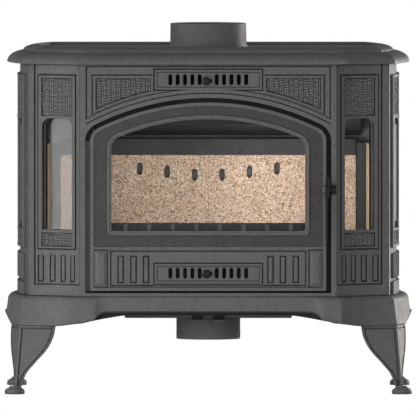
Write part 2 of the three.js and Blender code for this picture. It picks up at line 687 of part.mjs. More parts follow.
function doorFrame() {
  const core = pushed(ring(arched(DOOR), arched(GLASS_SIGHT)), DOOR_FRONT, DOOR_BACK);
  const upperFace = { ...inset(DOOR, DOOR_RIM.width), bottom: DOOR_RIM.crossTop };
  const lowerFace = rectangle(-DOOR_RIM.half, DOOR_RIM.half, DOOR_RIM.sillTop, DOOR_RIM.crossBottom);
  const overlap = DOOR_FRONT + LAP;
  const rim = pushed(ring(arched(DOOR), arched(upperFace), lowerFace), 0, overlap);
  const bead = pushed(ring(arched(VISION_BEAD), arched(GLASS_SIGHT)), -VISION_BEAD.rise, overlap);
  const upright = (middle, { half, bottom, top }, rise = 0) =>
    pushed(rectangle(middle - half, middle + half, bottom, top), -rise, overlap);
  const blocks = [-DOOR_BLOCK.x, DOOR_BLOCK.x].map((x) => upright(x, DOOR_BLOCK, DOOR_BLOCK.rise));
  const { half, bottom, top, width } = DOOR_BORDER;
  const border = pushed(ring(rectangle(-half, half, bottom, top),
    rectangle(width - half, half - width, bottom + width, top - width)), 0, overlap);
  const bars = DOOR_BAR.xs.flatMap((x) => [upright(-x, DOOR_BAR), upright(x, DOOR_BAR)]);
  const boss = upright(0, { half: VENT_HALF, ...LOWER_VENT }, BOSS_RISE);
  const pinHoles = [[DOOR.bottom - CLEAR, LOWER_PIN.top], [UPPER_PIN.bottom, UPPER_PIN.top + CLEAR]]
    .map(([z0, z1]) => rod(HINGE.radius + GAP, z1 - z0 + 2 * GAP, PIN_STEPS)
      .translate(HINGE.x, HINGE.y, (z0 + z1) / 2));
  return cut(join(core, rim, bead, ...blocks, border, ...bars, boss),
    ...ventSlots(LOWER_VENT, -CLEAR, DOOR_BACK + CLEAR),
    stemSlot(LOWER_VENT, -CLEAR, DOOR_BACK + CLEAR), ...pinHoles);
}

add('door_frame', doorFrame(), doorIron);

const SEAL = { half: 218, bottom: 206.5, radius: 481, fillet: 20 };
const SEAL_WIDTH = 8;
const DOOR_REBATE = 10; // how far the door's pane reaches behind the casting
const DOOR_TAPE = 2.5;
const sealFront = DOOR_BACK + GAP;
const doorPaneFront = sealFront + DOOR_TAPE + GAP;
const doorPaneBack = doorPaneFront + PANE;
const doorSight = inset(GLASS_SIGHT, -2);
const paneOutline = inset(GLASS_SIGHT, -DOOR_REBATE);
add('door_seal', pushed(ring(arched(SEAL), arched(inset(SEAL, SEAL_WIDTH))),
  sealFront, FLANGE_FRONT - GAP), rope);
add('door_glass_gasket', pushed(ring(arched(paneOutline), arched(doorSight)),
  sealFront, sealFront + DOOR_TAPE), rope);
add('door_glass', pushed(arched(paneOutline), doorPaneFront, doorPaneBack), ceramicGlass);
add('door_glass_retainer', pushed(ring(arched(inset(paneOutline, -2)), arched(doorSight)),
  doorPaneBack + GAP, doorPaneBack + 2), plateSteel);

for (const [name, { bottom, top }] of [['hinge_pin_lower', LOWER_PIN], ['hinge_pin_upper', UPPER_PIN]]) {
  add(name, rod(HINGE.radius, top - bottom, PIN_STEPS), blackSteel)
    .position.set(HINGE.x, HINGE.y, (top + bottom) / 2);
}

// ---------------------------------------------------------------- door handle and catch

const HANDLE = {
  pivotY: -11, pivotZ: 400, eye: 6.5, bottom: 292, tip: 4, lean: 14, bend: 350, barX: 228, barWidth: 4,
};
const NOSE = { left: 231.4, right: 236.6, half: 6, bottom: 384, top: 424 };
const HANDLE_BOSS = { left: 221, right: 227.5, half: 5.5 };
const HANDLE_PIN = { radius: 3, left: 226, right: 238.4 };
const CATCH = { left: 239.3, right: 248.7, radius: 8.6, y: -9.5, footLeft: 240.5, footHalf: 5 };

// A round bar lying along x, from one x to another.
const lyingRod = (radius, x0, x1, y, z, segments = PIN_STEPS) =>
  new THREE.CylinderGeometry(radius, radius, x1 - x0, segments).rotateZ(Math.PI / 2)
    .translate((x0 + x1) / 2, y, z);

function handleBoss() {
  const { left, right, half } = HANDLE_BOSS;
  const { pivotY, pivotZ } = HANDLE;
  const block = box(left, right, pivotY - half, -GAP, pivotZ - half, pivotZ + half);
  return join(block, lyingRod(HANDLE_PIN.radius, HANDLE_PIN.left, HANDLE_PIN.right, pivotY, pivotZ));
}

function doorHandle() {
  const { pivotY, pivotZ, eye, bottom, tip, lean, bend, barX, barWidth } = HANDLE;
  const tipZ = bottom + tip;
  const bar = new THREE.Shape();
  bar.moveTo(pivotY + eye, pivotZ);
  bar.absarc(pivotY, pivotZ, eye, 0, Math.PI, false);
  bar.quadraticCurveTo(pivotY - eye - 2, bend, pivotY - lean - tip, tipZ);
  bar.absarc(pivotY - lean, tipZ, tip, Math.PI, 2 * Math.PI, false);
  bar.quadraticCurveTo(pivotY + eye - 1.5, bend, pivotY + eye, pivotZ);
  const nose = rectangle(pivotY - NOSE.half, pivotY + NOSE.half, NOSE.bottom, NOSE.top);
  const lever = join(across(bar, barX, barX + barWidth), across(nose, NOSE.left, NOSE.right));
  return cut(lever, lyingRod(HANDLE_PIN.radius + GAP, barX - CLEAR, NOSE.right + CLEAR, pivotY, pivotZ));
}

function catchBlock() {
  const { left, right, radius, y, footLeft, footHalf } = CATCH;
  const roller = lyingRod(radius, left, right, y, HANDLE.pivotZ, 20);
  const foot = box(footLeft, right, y, -GAP, HANDLE.pivotZ - footHalf, HANDLE.pivotZ + footHalf);
  return join(roller, foot);
}

add('handle_boss', handleBoss(), castIron);
add('door_handle', doorHandle(), blackSteel);
add('door_catch', catchBlock(), blackSteel);

// ---------------------------------------------------------------- air sliders

const SLIDER = { half: 94, halfHeight: 15, sheet: 2 };
const KNOB = { front: -16, face: 6, radius: 8, length: 12.5, stem: 3 };

// The knob stands at one end of its travel, with the plate's slots in line with the vent's.
function addAirSlider(name, vent, back) {
  const { half, halfHeight, sheet } = SLIDER;
  const outline = rectangle(-half, half, vent.slots - halfHeight, vent.slots + halfHeight);
  const plate = cut(pushed(outline, back, back + sheet), ...ventSlots(vent, back - CLEAR, back + CLEAR));
  add(`${name}_slider_plate`, plate, plateSteel);
  const { front, face, radius, length, stem } = KNOB;
  const reach = back - GAP - front;
  const knob = new THREE.LatheGeometry(points(
    [0, 0], [face, 0], [radius, 2], [radius, 8], [face + 0.5, 11],
    [stem, length], [stem, reach], [0, reach]), 16);
  add(`${name}_knob`, knob, blackSteel).position.set(KNOB_X, front, vent.knob);
}

addAirSlider('upper_air', UPPER_VENT, WALL + GAP);
addAirSlider('lower_air', LOWER_VENT, DOOR_BACK + GAP);

// ---------------------------------------------------------------- floor of the stove

const TIE_RODS = [
  { name: 'front', x: 332, y: 84 },
  { name: 'rear', x: 336, y: 410 },
];
const TIE_ROD = { radius: 4, steps: 8 };
const rodHoles = (z0, z1) => TIE_RODS.flatMap(({ x, y }) => [-x, x].map((side) =>
  rod(TIE_ROD.radius + 1, z1 - z0, TIE_ROD.steps).translate(side, y, (z0 + z1) / 2)));

const PLATE_FRONT = FLANGE_BACK + 1;
const PLATE_INSET = 12; // of the plates inside the body, from its plan
const BOTTOM_PLATE_TOP = BASE_TOP + 5;
const PLATE_INLET = 56;
const GRATE = { half: 160, front: 125, back: 305, slots: 11, pitch: 27, slotHalf: 6, margin: 14 };

function bottomPlate() {
  const plate = raised(plan(-PLATE_FRONT, -PLATE_INSET, -PLATE_INSET), BASE_TOP + GAP, BOTTOM_PLATE_TOP);
  const inlet = rod(PLATE_INLET, PAST_FRONT, 24).translate(0, INLET_Y, BASE_TOP);
  return cut(plate, inlet, ...rodHoles(BASE_TOP - CLEAR, BOTTOM_PLATE_TOP + CLEAR));
}

function hearthPlate() {
  const plate = raised(plan(-PLATE_FRONT, -PLATE_INSET, -PLATE_INSET), HEARTH_BOTTOM, HEARTH_TOP);
  const hatch = box(-GRATE.half - GAP, GRATE.half + GAP, GRATE.front - GAP, GRATE.back + GAP,
    HEARTH_BOTTOM - CLEAR, HEARTH_TOP + CLEAR);
  return cut(plate, hatch, ...rodHoles(HEARTH_BOTTOM - CLEAR, HEARTH_TOP + CLEAR));
}

function grate() {
  const { half, front, back, slots, pitch, slotHalf, margin } = GRATE;
  const plate = box(-half, half, front, back, HEARTH_BOTTOM, HEARTH_TOP);
  const cuts = Array.from({ length: slots }, (_, i) => (i - (slots - 1) / 2) * pitch).map((x) =>
    box(x - slotHalf, x + slotHalf, front + margin, back - margin,
      HEARTH_BOTTOM - CLEAR, HEARTH_TOP + CLEAR));
  return cut(plate, ...cuts);
}

add('bottom_plate', bottomPlate(), plateSteel);
add('hearth_plate', hearthPlate(), castIron);
add('grate', grate(), castIron);

// Three walls under the hearth make the ash compartment, and the pan stands between them.
const ASH = { half: 175, wall: 3, depth: 330 };
const PAN = { half: 160, front: 34, back: 320, foot: 10, top: 256, sheet: 1.5, runner: 140, runnerHalf: 5 };
const ashBottom = BOTTOM_PLATE_TOP + GAP;
const ashCompartment = cut(
  box(-ASH.half, ASH.half, PLATE_FRONT, ASH.depth, ashBottom, HEARTH_BOTTOM - GAP),
  box(ASH.wall - ASH.half, ASH.half - ASH.wall, 0, ASH.depth - ASH.wall, 0, BODY_TOP));
add('ash_compartment', ashCompartment, plateSteel);

// The pan stands on two runners, so that air from the inlet passes under it.
function ashPan() {
  const { half, front, back, foot, top, sheet, runner, runnerHalf } = PAN;
  const floor = ashBottom + foot;
  const outer = box(-half, half, front, back, floor, top);
  const inner = box(sheet - half, half - sheet, front + sheet, back - sheet, floor + sheet, top + CLEAR);
  const runners = [-runner, runner].map((x) =>
    box(x - runnerHalf, x + runnerHalf, front + CLEAR, back - CLEAR, ashBottom, floor + LAP));
  return cut(join(outer, ...runners), inner);
}

add('ash_pan', ashPan(), plateSteel);

// ---------------------------------------------------------------- combustion chamber

const BRICK = { front: 398, back: 423, half: 290, top: 470 };
const BRICK_SLOT = { x: 27, pitch: 54, z: 415, step: 6.2, width: 11, height: 25 };
const SIDE_BRICK = { outer: [344, 332], front: 92, back: 396, thickness: 22, top: 480 };
const POST = { left: 291.7, right: 308.8, front: 391, back: 407, sheet: 3, top: 478 };

// Each half of the back board has three upright air slots, set higher towards the sides.
function backBrick() {
  const board = box(GAP, BRICK.half, BRICK.front, BRICK.back, HEARTH_TOP + GAP, BRICK.top);
  const { x, pitch, z, step, width, height } = BRICK_SLOT;
  const slots = [0, 1, 2].map((i) => pushed(
    roundSlot(x + pitch * i, z + step * i, width, height), BRICK.front - CLEAR, BRICK.back + CLEAR, 2));
  return cut(board, ...slots);
}

function sideBrick() {
  const { outer: [frontX, backX], front, back, thickness, top } = SIDE_BRICK;
  return raised(points([frontX - thickness, front], [frontX, front],
    [backX, back], [backX - thickness, back]), HEARTH_TOP + GAP, top);
}

// A steel angle covers the corner where the back board meets the side board.
const cornerPost = join(
  box(POST.left, POST.right, POST.front, POST.front + POST.sheet, HEARTH_TOP + GAP, POST.top),
  box(POST.right - POST.sheet, POST.right, POST.front, POST.back, HEARTH_TOP + GAP, POST.top));

addPair('back_brick', backBrick(), vermiculite);
addPair('side_brick', sideBrick(), vermiculite);
addPair('brick_corner_post', cornerPost, plateSteel);

const RETAINER = { bottom: 454, top: 486, front: 394.5, back: 397.5, screwX: 62, screwZ: 459.5 };
const SCREW_HEAD = 2.6; // height
add('back_retainer', box(-BRICK.half, BRICK.half, RETAINER.front, RETAINER.back,
  RETAINER.bottom, RETAINER.top), plateSteel);

const screwHead = new THREE.LatheGeometry(
  points([0, 0], [2.2, 0.3], [4, 1.6], [4, SCREW_HEAD], [0, SCREW_HEAD]), 8);
for (const [side, x] of [['left', -RETAINER.screwX], ['right', RETAINER.screwX]]) {
  add(`retainer_screw_${side}`, screwHead.clone(), plateSteel)
    .position.set(x, RETAINER.front - SCREW_HEAD - GAP, RETAINER.screwZ);
}

// The baffle slopes up towards the front, and smoke passes over its front edge.
const BAFFLE = { half: 300, front: 150, back: 425, frontBottom: 560, backBottom: 492, thickness: 8 };

function bafflePlate() {
  const { half, front, back, frontBottom, backBottom, thickness } = BAFFLE;
  return across(new THREE.Shape(points([front, frontBottom], [back, backBottom],
    [back, backBottom + thickness], [front, frontBottom + thickness])), -half, half);
}

add('baffle_plate', bafflePlate(), castIron);

// A sheet behind the upper vent turns the air down the glass, with a lip along its lower edge.
const DEFLECTOR = {
  half: 236, front: FLANGE_BACK + 2, sheet: 3, top: 600, bend: 533, bottom: 525.5, lip: 7,
};

function airDeflector() {
  const { half, front, sheet, top, bend, bottom, lip } = DEFLECTOR;
  const profile = new THREE.Shape(points(
    [front, top], [front, bend], [front + lip, bottom], [front + lip + sheet, bottom],
    [front + lip + sheet, bottom + 2.5], [front + sheet, bend + 2], [front + sheet, top]));
  return across(profile, -half, half);
}

add('air_deflector', airDeflector(), plateSteel);

// A low fence with upright fins keeps logs off the glass.
const GUARD = { half: 212, front: 34, sheet: 3, top: 333.8 };
const FIN = { xs: [23, 69, 115, 161], half: 4.3, toe: 27, top: 331, head: 32 };

function logGuard() {
  const { half, front, sheet, top } = GUARD;
  const foot = HEARTH_TOP + GAP;
  const fence = box(-half, half, front, front + sheet, foot, top);
  const fin = () => new THREE.Shape(points(
    [FIN.toe, foot], [front + LAP, foot], [front + LAP, FIN.top], [FIN.head, FIN.top]));
  const fins = FIN.xs.flatMap((x) => [-x, x]).map((x) => across(fin(), x - FIN.half, x + FIN.half));
  return join(fence, ...fins);
}

add('log_guard', logGuard(), plateSteel);

for (const { name, x, y } of TIE_RODS) {
  const length = FIELD_TOP - PLATE_INSET - BASE_TOP;
  const tie = rod(TIE_ROD.radius, length, TIE_ROD.steps).translate(x, y, BASE_TOP + GAP + length / 2);
  addPair(`tie_rod_${name}`, tie, plateSteel);
}

// ---------------------------------------------------------------- air box and inlet

const SPIGOT = { bottom: 100.5, wall: 2.5, flange: 75 };

function airBox() {
  const { half, front, back, bottom, top, sheet } = AIR_BOX;
  const outer = box(-half, half, front, back, bottom, top);
  const inner = box(sheet - half, half - sheet, front + sheet, back - sheet, bottom + sheet, top + CLEAR);
  return cut(outer, inner, rod(INLET_RADIUS + 1, PAST_FRONT / 2, 32).translate(0, INLET_Y, bottom));
}

function inletSpigot() {
  const { bottom, wall, flange } = SPIGOT;
  const foot = AIR_BOX.bottom + AIR_BOX.sheet + GAP;
  const bore = INLET_RADIUS - wall;
  return turned([
    [bore, bottom], [INLET_RADIUS, bottom], [INLET_RADIUS, foot], [flange, foot],
    [flange, foot + wall], [bore, foot + wall],
  ], ROUND_STEPS).translate(0, INLET_Y, 0);
}

add('air_box', airBox(), castIron);
add('air_inlet_spigot', inletSpigot(), castIron);

const SPIGOT_SCREW_X = 69;
for (const [side, x] of [['left', -SPIGOT_SCREW_X], ['right', SPIGOT_SCREW_X]]) {
  const head = screwHead.clone().rotateX(Math.PI / 2).translate(0, 0, -SCREW_HEAD - GAP);
  add(`spigot_screw_${side}`, head, blackSteel).position.set(x, INLET_Y, AIR_BOX.bottom);
}

// Two bent straps hang from the front of the air box.
const STRAP = {
  back: AIR_BOX.front - 1, sheet: 3, toe: AIR_BOX.front - 12, top: 182, bottom: 144, half: 10.3,
};
const STRAP_XS = { left: -21, right: 20 };

function strap(x) {
  const { back, sheet, toe, top, bottom, half } = STRAP;
  return across(new THREE.Shape(points(
    [back - sheet, top], [back - sheet, bottom + sheet], [toe, bottom + sheet], [toe, bottom],
    [back, bottom], [back, top])), x - half, x + half);
}

add('air_box_strap_left', strap(STRAP_XS.left), blackSteel);
add('air_box_strap_right', strap(STRAP_XS.right), blackSteel);

// ---------------------------------------------------------------- final placing

const bounds = new THREE.Box3().setFromObject(stove);
const middle = bounds.getCenter(new THREE.Vector3());
stove.position.set(-middle.x, -middle.y, -bounds.min.z);

export default stove;
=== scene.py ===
"""Looks of a cast-iron wood burning stove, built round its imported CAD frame.

Lengths are in millimetres in the helpers and are turned into metres when a mesh is made.
Plan positions are (x, depth), with depth measured back from the plane of the front castings.
"""

import json
import math
import random

import bmesh
import bpy
import numpy as np
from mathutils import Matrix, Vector
from mathutils.geometry import tessellate_polygon


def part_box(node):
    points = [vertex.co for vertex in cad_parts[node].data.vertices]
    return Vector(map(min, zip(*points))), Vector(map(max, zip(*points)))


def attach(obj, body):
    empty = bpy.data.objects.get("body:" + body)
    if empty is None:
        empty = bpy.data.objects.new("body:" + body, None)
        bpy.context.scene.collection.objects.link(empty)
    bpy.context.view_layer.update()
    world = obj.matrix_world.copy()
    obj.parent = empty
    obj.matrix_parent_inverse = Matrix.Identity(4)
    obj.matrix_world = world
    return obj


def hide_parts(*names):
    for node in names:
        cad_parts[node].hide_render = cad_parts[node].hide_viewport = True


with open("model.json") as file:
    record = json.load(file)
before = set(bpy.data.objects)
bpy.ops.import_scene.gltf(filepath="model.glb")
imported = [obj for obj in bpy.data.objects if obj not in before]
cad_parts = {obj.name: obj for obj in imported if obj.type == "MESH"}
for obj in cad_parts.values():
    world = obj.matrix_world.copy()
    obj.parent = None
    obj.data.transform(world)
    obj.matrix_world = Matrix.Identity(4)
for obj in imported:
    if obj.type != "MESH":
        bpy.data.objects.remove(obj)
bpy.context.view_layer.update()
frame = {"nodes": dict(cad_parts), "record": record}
BODIES = frame["record"]["behaviour"]["bodies"]
BODY_OF = {node: body for body, nodes in BODIES.items() for node in nodes}
SLOT_OF = {part["node"]: part["material_slot"] for part in frame["record"]["subparts"]}


# --- sizes read from the frame

def node_box(node):
    """Lowest and highest corner of a node, in millimetres, with y turned into depth."""
    low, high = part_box(node)
    low, high = [v * 1000 for v in low], [v * 1000 for v in high]
    return (low[0], low[1] - FRONT, low[2]), (high[0], high[1] - FRONT, high[2])


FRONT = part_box("corner_panel_right")[0].y * 1000
TOP_LOW, TOP_HIGH = node_box("top_plate")
BASE_LOW, BASE_HIGH = node_box("base_frame")
COLLAR_LOW, COLLAR_HIGH = node_box("flue_collar")
DOOR_LOW, DOOR_HIGH = node_box("door_frame")
BACK_DEPTH = node_box("back_panel")[1][1]
FRONT_HALF = node_box("corner_panel_right")[0][0]
BODY_BOTTOM = BASE_HIGH[2]
BODY_TOP = TOP_LOW[2]
FLUE_DEPTH = (COLLAR_LOW[1] + COLLAR_HIGH[1]) / 2
FLUE_BORE = 69.3
GAP = 0.3

# Plan of the body, as in the CAD: canted concave corners and bowed sides.
CORNER = np.array([350.5, 66.0])
CANT_RADIUS = 150.0
SIDE_BOW = 18.0
LIP_BULGE = 10.0
SIDE_RELIEF = 5.5
CANT_STEPS = 20
SIDE_STEPS = 28

# The arched door, its opening and its glass share one arc centre.
ARC_Z = 84.8
OPENING = dict(half=239.0, bottom=198.4, radius=493.0, fillet=36.0)
DOOR = dict(half=DOOR_HIGH[0], bottom=DOOR_LOW[2], radius=DOOR_HIGH[2] - ARC_Z, fillet=27.6)
SIGHT = dict(half=188.3, bottom=319.3, radius=451.8, fillet=24.0)
BEAD = dict(half=197.0, bottom=310.3, radius=459.9, fillet=32.0)
FLANGE = dict(half=207.0, bottom=217.0, radius=470.0, fillet=20.0)

VENT_HALF = 104.3
UPPER_VENT = dict(bottom=594.0, top=633.0, slots=613.6, knob=611.0)
LOWER_VENT = dict(bottom=216.7, top=255.3, slots=237.1, knob=236.0)
SLOT_SIZE = (7.5, 21.0)
FIRST_SLOT, SLOT_PITCH, SLOTS_A_SIDE = 16.5, 14.3, 5
SLOT_XS = [side * (FIRST_SLOT + SLOT_PITCH * i) for i in range(SLOTS_A_SIDE) for side in (-1, 1)]


# --- outlines

def arc(cx, cy, radius, start, stop, steps):
    """Points of an arc, both ends included, angles in radians."""
    t = np.linspace(start, stop, steps + 1)
    return np.column_stack([cx + radius * np.cos(t), cy + radius * np.sin(t)])


def rect(x0, x1, z0, z1, r=0.0, steps=4, only=(1, 1, 1, 1)):
    """A rectangle, anticlockwise, with its corners rounded where `only` says so."""
    corners = [(x0 + r, z0 + r, math.pi), (x1 - r, z0 + r, 1.5 * math.pi),
               (x1 - r, z1 - r, 0.0), (x0 + r, z1 - r, 0.5 * math.pi)]
    sharp = [(x0, z0), (x1, z0), (x1, z1), (x0, z1)]
    out = []
    for (cx, cz, start), corner, rounded in zip(corners, sharp, only):
        if r > 0 and rounded:
            out.append(arc(cx, cz, r, start, start + math.pi / 2, steps))
        else:
            out.append(np.array([corner]))
    return np.vstack(out)


def slot(x, z, width, height):
    return rect(x - width / 2, x + width / 2, z - height / 2, z + height / 2, width / 2 - 0.01)


def arched(half, bottom, radius, fillet, corner=0.0):
    """An arched outline with upright sides, filleted shoulders and a shared arc centre."""
    fillet_z = ARC_Z + math.sqrt((radius - fillet) ** 2 - (half - fillet) ** 2)
    spring = math.atan2(fillet_z - ARC_Z, half - fillet)
    feet = rect(-half, half, bottom, fillet_z, corner, 4, (1, 1, 0, 0))[:-2]
    right = arc(half - fillet, fillet_z, fillet, 0, spring, 10)
    top = arc(0, ARC_Z, radius, spring, math.pi - spring, 40)[1:-1]
    left = arc(fillet - half, fillet_z, fillet, math.pi - spring, math.pi, 10)
    return np.vstack([feet, right, top, left])


def inset(a, margin):
    """The sizes of an arched outline drawn in by a margin."""
    return dict(half=a["half"] - margin, bottom=a["bottom"] + margin,
                radius=a["radius"] - margin, fillet=max(a["fillet"] - margin, 3.0))


def offset(loop, distance):
    """Moves a closed loop sideways, to its left, with mitred corners."""
    before = loop - np.roll(loop, 1, 0)
    after = np.roll(loop, -1, 0) - loop
    normal = []
    for edge in (before, after):
        edge = edge / np.linalg.norm(edge, axis=1)[:, None]
        normal.append(np.column_stack([-edge[:, 1], edge[:, 0]]))
    middle = normal[0] + normal[1]
    middle /= np.linalg.norm(middle, axis=1)[:, None]
    reach = np.clip((middle * normal[1]).sum(1), 0.35, 1.0)
    return loop + middle * (distance / reach)[:, None]


def turned_to(loop, anticlockwise):
    x, y = loop[:, 0], loop[:, 1]
    area = np.dot(x, np.roll(y, -1)) - np.dot(y, np.roll(x, -1))
    return loop if (area > 0) == anticlockwise else loop[::-1]


# --- solids in panel space

class Solid:
    """Vertices (u, v, w) in millimetres: u across, v up, w out of the surface."""

    def __init__(self):
        self.verts, self.faces = [], []

    def add(self, verts, faces):
        start = len(self.verts)
        self.verts.extend(map(tuple, verts))
        self.faces.extend([tuple(start + i for i in face) for face in faces])
        return self

    def plate(self, loops, back, front, edge, steps=3, draft=0.0):
        """A flat plate with holes. Its front edges are rounded by `edge`, and its sides lean by `draft`."""
        outer, holes = turned_to(loops[0], True), [turned_to(h, False) for h in loops[1:]]
        profile = [(0.0, back)]
        for i in range(steps + 1):
            t = math.pi / 2 * i / steps
            profile.append((draft + edge * (1 - math.cos(t)), front - edge * (1 - math.sin(t))))
        rings, verts, faces = [], [], []
        for loop in [outer, *holes]:
            count = len(loop)
            first = len(verts)
            for out, w in profile:
                moved = offset(loop, out) if out else loop
                verts.extend((p[0], p[1], w) for p in moved)
            for level in range(len(profile) - 1):
                a = first + level * count
                for i in range(count):
                    j = (i + 1) % count
                    faces.append((a + i, a + j, a + count + j, a + count + i))
            rings.append((first, count))
        last = len(profile) - 1
        for level, flip in ((0, True), (last, False)):
            index = [first + level * count + i for first, count in rings for i in range(count)]
            contour = [[Vector((*verts[first + level * count + i][:2], 0)) for i in range(count)]
                       for first, count in rings]
            for tri in tessellate_polygon(contour):
                a, b, c = (index[i] for i in tri)
                pa, pb, pc = (np.array(verts[i][:2]) for i in (a, b, c))
                turn = np.cross(pb - pa, pc - pa)
                if abs(turn) < 1e-9:
                    continue
                if (turn < 0) != flip:
                    b, c = c, b
                faces.append((a, b, c))
        return self.add(verts, faces)

    def grid(self, u0, u1, v0, v1, step, height, keep, base, skirt):
        """A dense field over a rectangle, raised by height(u, v), closed underneath."""
        us = np.linspace(u0, u1, max(2, round((u1 - u0) / step) + 1))
        vs = np.linspace(v0, v1, max(2, round((v1 - v0) / step) + 1))
        uu, vv = np.meshgrid(us, vs, indexing="ij")
        ww = height(uu, vv) + base
        inside = np.ones_like(uu, bool) if keep is None else keep(uu, vv)
        cells = inside[:-1, :-1] & inside[1:, :-1] & inside[1:, 1:] & inside[:-1, 1:]
        nu, nv = uu.shape
        index = np.arange(nu * nv).reshape(nu, nv)
        upper = np.column_stack([uu.ravel(), vv.ravel(), ww.ravel()])
        lower = np.column_stack([upper[:, :2], np.full(nu * nv, base - skirt)])
        verts = [*upper, *lower]
        faces = []
        edges = {}
        for i, j in zip(*np.nonzero(cells)):
            quad = (index[i, j], index[i + 1, j], index[i + 1, j + 1], index[i, j + 1])
            faces.append(quad)
            faces.append(tuple(k + nu * nv for k in reversed(quad)))
            for a, b in zip(quad, quad[1:] + quad[:1]):
                if (b, a) in edges:
                    del edges[(b, a)]
                else:
                    edges[(a, b)] = True
        for a, b in edges:
            faces.append((b, a, a + nu * nv, b + nu * nv))
        used = sorted({k for face in faces for k in face})
        renumber = {k: n for n, k in enumerate(used)}
        return self.add([verts[k] for k in used], [tuple(renumber[k] for k in f) for f in faces])


def flat_place(verts):
    """Panel space on the front plane."""
    return np.column_stack([verts[:, 0], -verts[:, 2], verts[:, 1]])


def plan_circle(a, b, sagitta):
    """Centre and radius of the circle through a and b, its arc's middle `sagitta` to the right of a to b."""
    chord = b - a
    half = np.linalg.norm(chord) / 2
    radius = (half ** 2 + sagitta ** 2) / (2 * abs(sagitta))
    left = np.array([-chord[1], chord[0]]) / (2 * half)
    return (a + b) / 2 + left * (radius - abs(sagitta)) * math.copysign(1, sagitta), radius


VERTEX = np.array([FRONT_HALF, 0.0])
CHORD = float(np.linalg.norm(CORNER - VERTEX))
CHORD_DIR = (CORNER - VERTEX) / CHORD
CHORD_OUT = np.array([CHORD_DIR[1], -CHORD_DIR[0]])
CANT_SAG = CANT_RADIUS - math.sqrt(CANT_RADIUS ** 2 - (CHORD / 2) ** 2)
CANT_C, _ = plan_circle(VERTEX, CORNER, -CANT_SAG)
REAR = np.array([CORNER[0], BACK_DEPTH])
SIDE_C, SIDE_R = plan_circle(CORNER, REAR, SIDE_BOW)
SIDE_HALF_ANGLE = math.asin((BACK_DEPTH - CORNER[1]) / 2 / SIDE_R)
SIDE_LENGTH = 2 * SIDE_HALF_ANGLE * SIDE_R


def cant_sag(u):
    """How far the concave surface lies behind the chord."""
    return np.sqrt(CANT_RADIUS ** 2 - (u - CHORD / 2) ** 2) - (CANT_RADIUS - CANT_SAG)


def chord_place(verts):
    """Flat panel space on the right corner: u runs along the chord from the front vertex."""
    xy = VERTEX + verts[:, :1] * CHORD_DIR + verts[:, 2:] * CHORD_OUT
    return np.column_stack([xy, verts[:, 1]])


def cant_place(verts):
    """The same, with w measured from the concave surface, and the ends kept off the next castings."""
    deep = verts[:, 2] - cant_sag(verts[:, 0])
    placed = chord_place(np.column_stack([verts[:, 0], verts[:, 1], deep]))
    side_x = SIDE_C[0] + np.sqrt(SIDE_R ** 2 - (placed[:, 1] - SIDE_C[1]) ** 2) - GAP
    placed[:, 0] = np.clip(placed[:, 0], FRONT_HALF, side_x)
    return placed


def cant_u(x):
    """The chord coordinate of the surface point at x."""
    u = (x - FRONT_HALF) / CHORD_DIR[0]
    for _ in range(20):
        u = (x - FRONT_HALF + cant_sag(np.array(u)) * CHORD_OUT[0]) / CHORD_DIR[0]
    return float(u)


def circles_meet(c1, r1, c2, r2):
    """Where two circles cross, on the left of the way from c1 to c2 turned about."""
    between = c1 - c2
    distance = np.linalg.norm(between)
    along = (distance ** 2 + r2 ** 2 - r1 ** 2) / (2 * distance)
    off = math.sqrt(r2 ** 2 - along ** 2)
    unit = between / distance
    return c2 + unit * along + np.array([-unit[1], unit[0]]) * off


def arc_between(centre, start, stop, steps):
    a = math.atan2(*(start - centre)[::-1])
    b = math.atan2(*(stop - centre)[::-1])
    turn = math.atan2(math.sin(b - a), math.cos(b - a))
    return arc(*centre, np.linalg.norm(start - centre), a, a + turn, steps)


FRONT_XS = [40, 80, 120, 150, 170, 185, 193, 197, 201, 205, 209, 213, 217, 221, 226]


def plan(front, side=None, back=None, bulge=0.0):
    """The plan of the body moved out by its offsets, as a closed ring of (x, depth)."""
    side = front if side is None else side
    back = front if back is None else back
    corner = circles_meet(CANT_C, CANT_RADIUS - front, SIDE_C, SIDE_R + side)
    vertex_x = CANT_C[0] - math.sqrt((CANT_RADIUS - front) ** 2 - (front + CANT_C[1]) ** 2)
    vertex = np.array([vertex_x, -front])
    rear_y = BACK_DEPTH + back
    rear = np.array([SIDE_C[0] + math.sqrt((SIDE_R + side) ** 2 - (rear_y - SIDE_C[1]) ** 2), rear_y])
    half_chord = np.linalg.norm(rear - corner) / 2
    sagitta = SIDE_R + side - math.sqrt((SIDE_R + side) ** 2 - half_chord ** 2)
    centre, _ = plan_circle(corner, rear, sagitta + bulge)
    half = np.vstack([[(x, -front) for x in FRONT_XS],
                      arc_between(CANT_C, vertex, corner, CANT_STEPS),
                      arc_between(centre, corner, rear, SIDE_STEPS)[1:],
                      [(rear[0] * f, rear_y) for f in (0.8, 0.6, 0.4, 0.2)]])
    other = half[::-1] * (-1, 1)
    return np.vstack([[(0, -front)], half, [(0, rear_y)], other])


def level(ring, z):
    """Puts a plan ring at one height, or at a height for each point."""
    return np.column_stack([ring, np.broadcast_to(z, len(ring))])


def onto_circle(ring, centre, radius):
    """The points of a circle in the directions of a ring's points."""
    away = ring - centre
    return centre + away / np.linalg.norm(away, axis=1)[:, None] * radius


def quarter(steps):
    """Cosine and sine pairs through a quarter turn."""
    return [(math.cos(math.pi / 2 * i / steps), math.sin(math.pi / 2 * i / steps)) for i in range(steps + 1)]


def side_place(verts):
    """Panel space on the right side: u runs from the outer corner to the rear corner."""
    t = verts[:, 0] / SIDE_R - SIDE_HALF_ANGLE
    r = SIDE_R + verts[:, 2]
    return np.column_stack([SIDE_C[0] + r * np.cos(t), SIDE_C[1] + r * np.sin(t), verts[:, 1]])


# --- objects

def smooth(mesh):
    mesh.shade_smooth()
    mesh.set_sharp_from_angle(angle=math.radians(32))


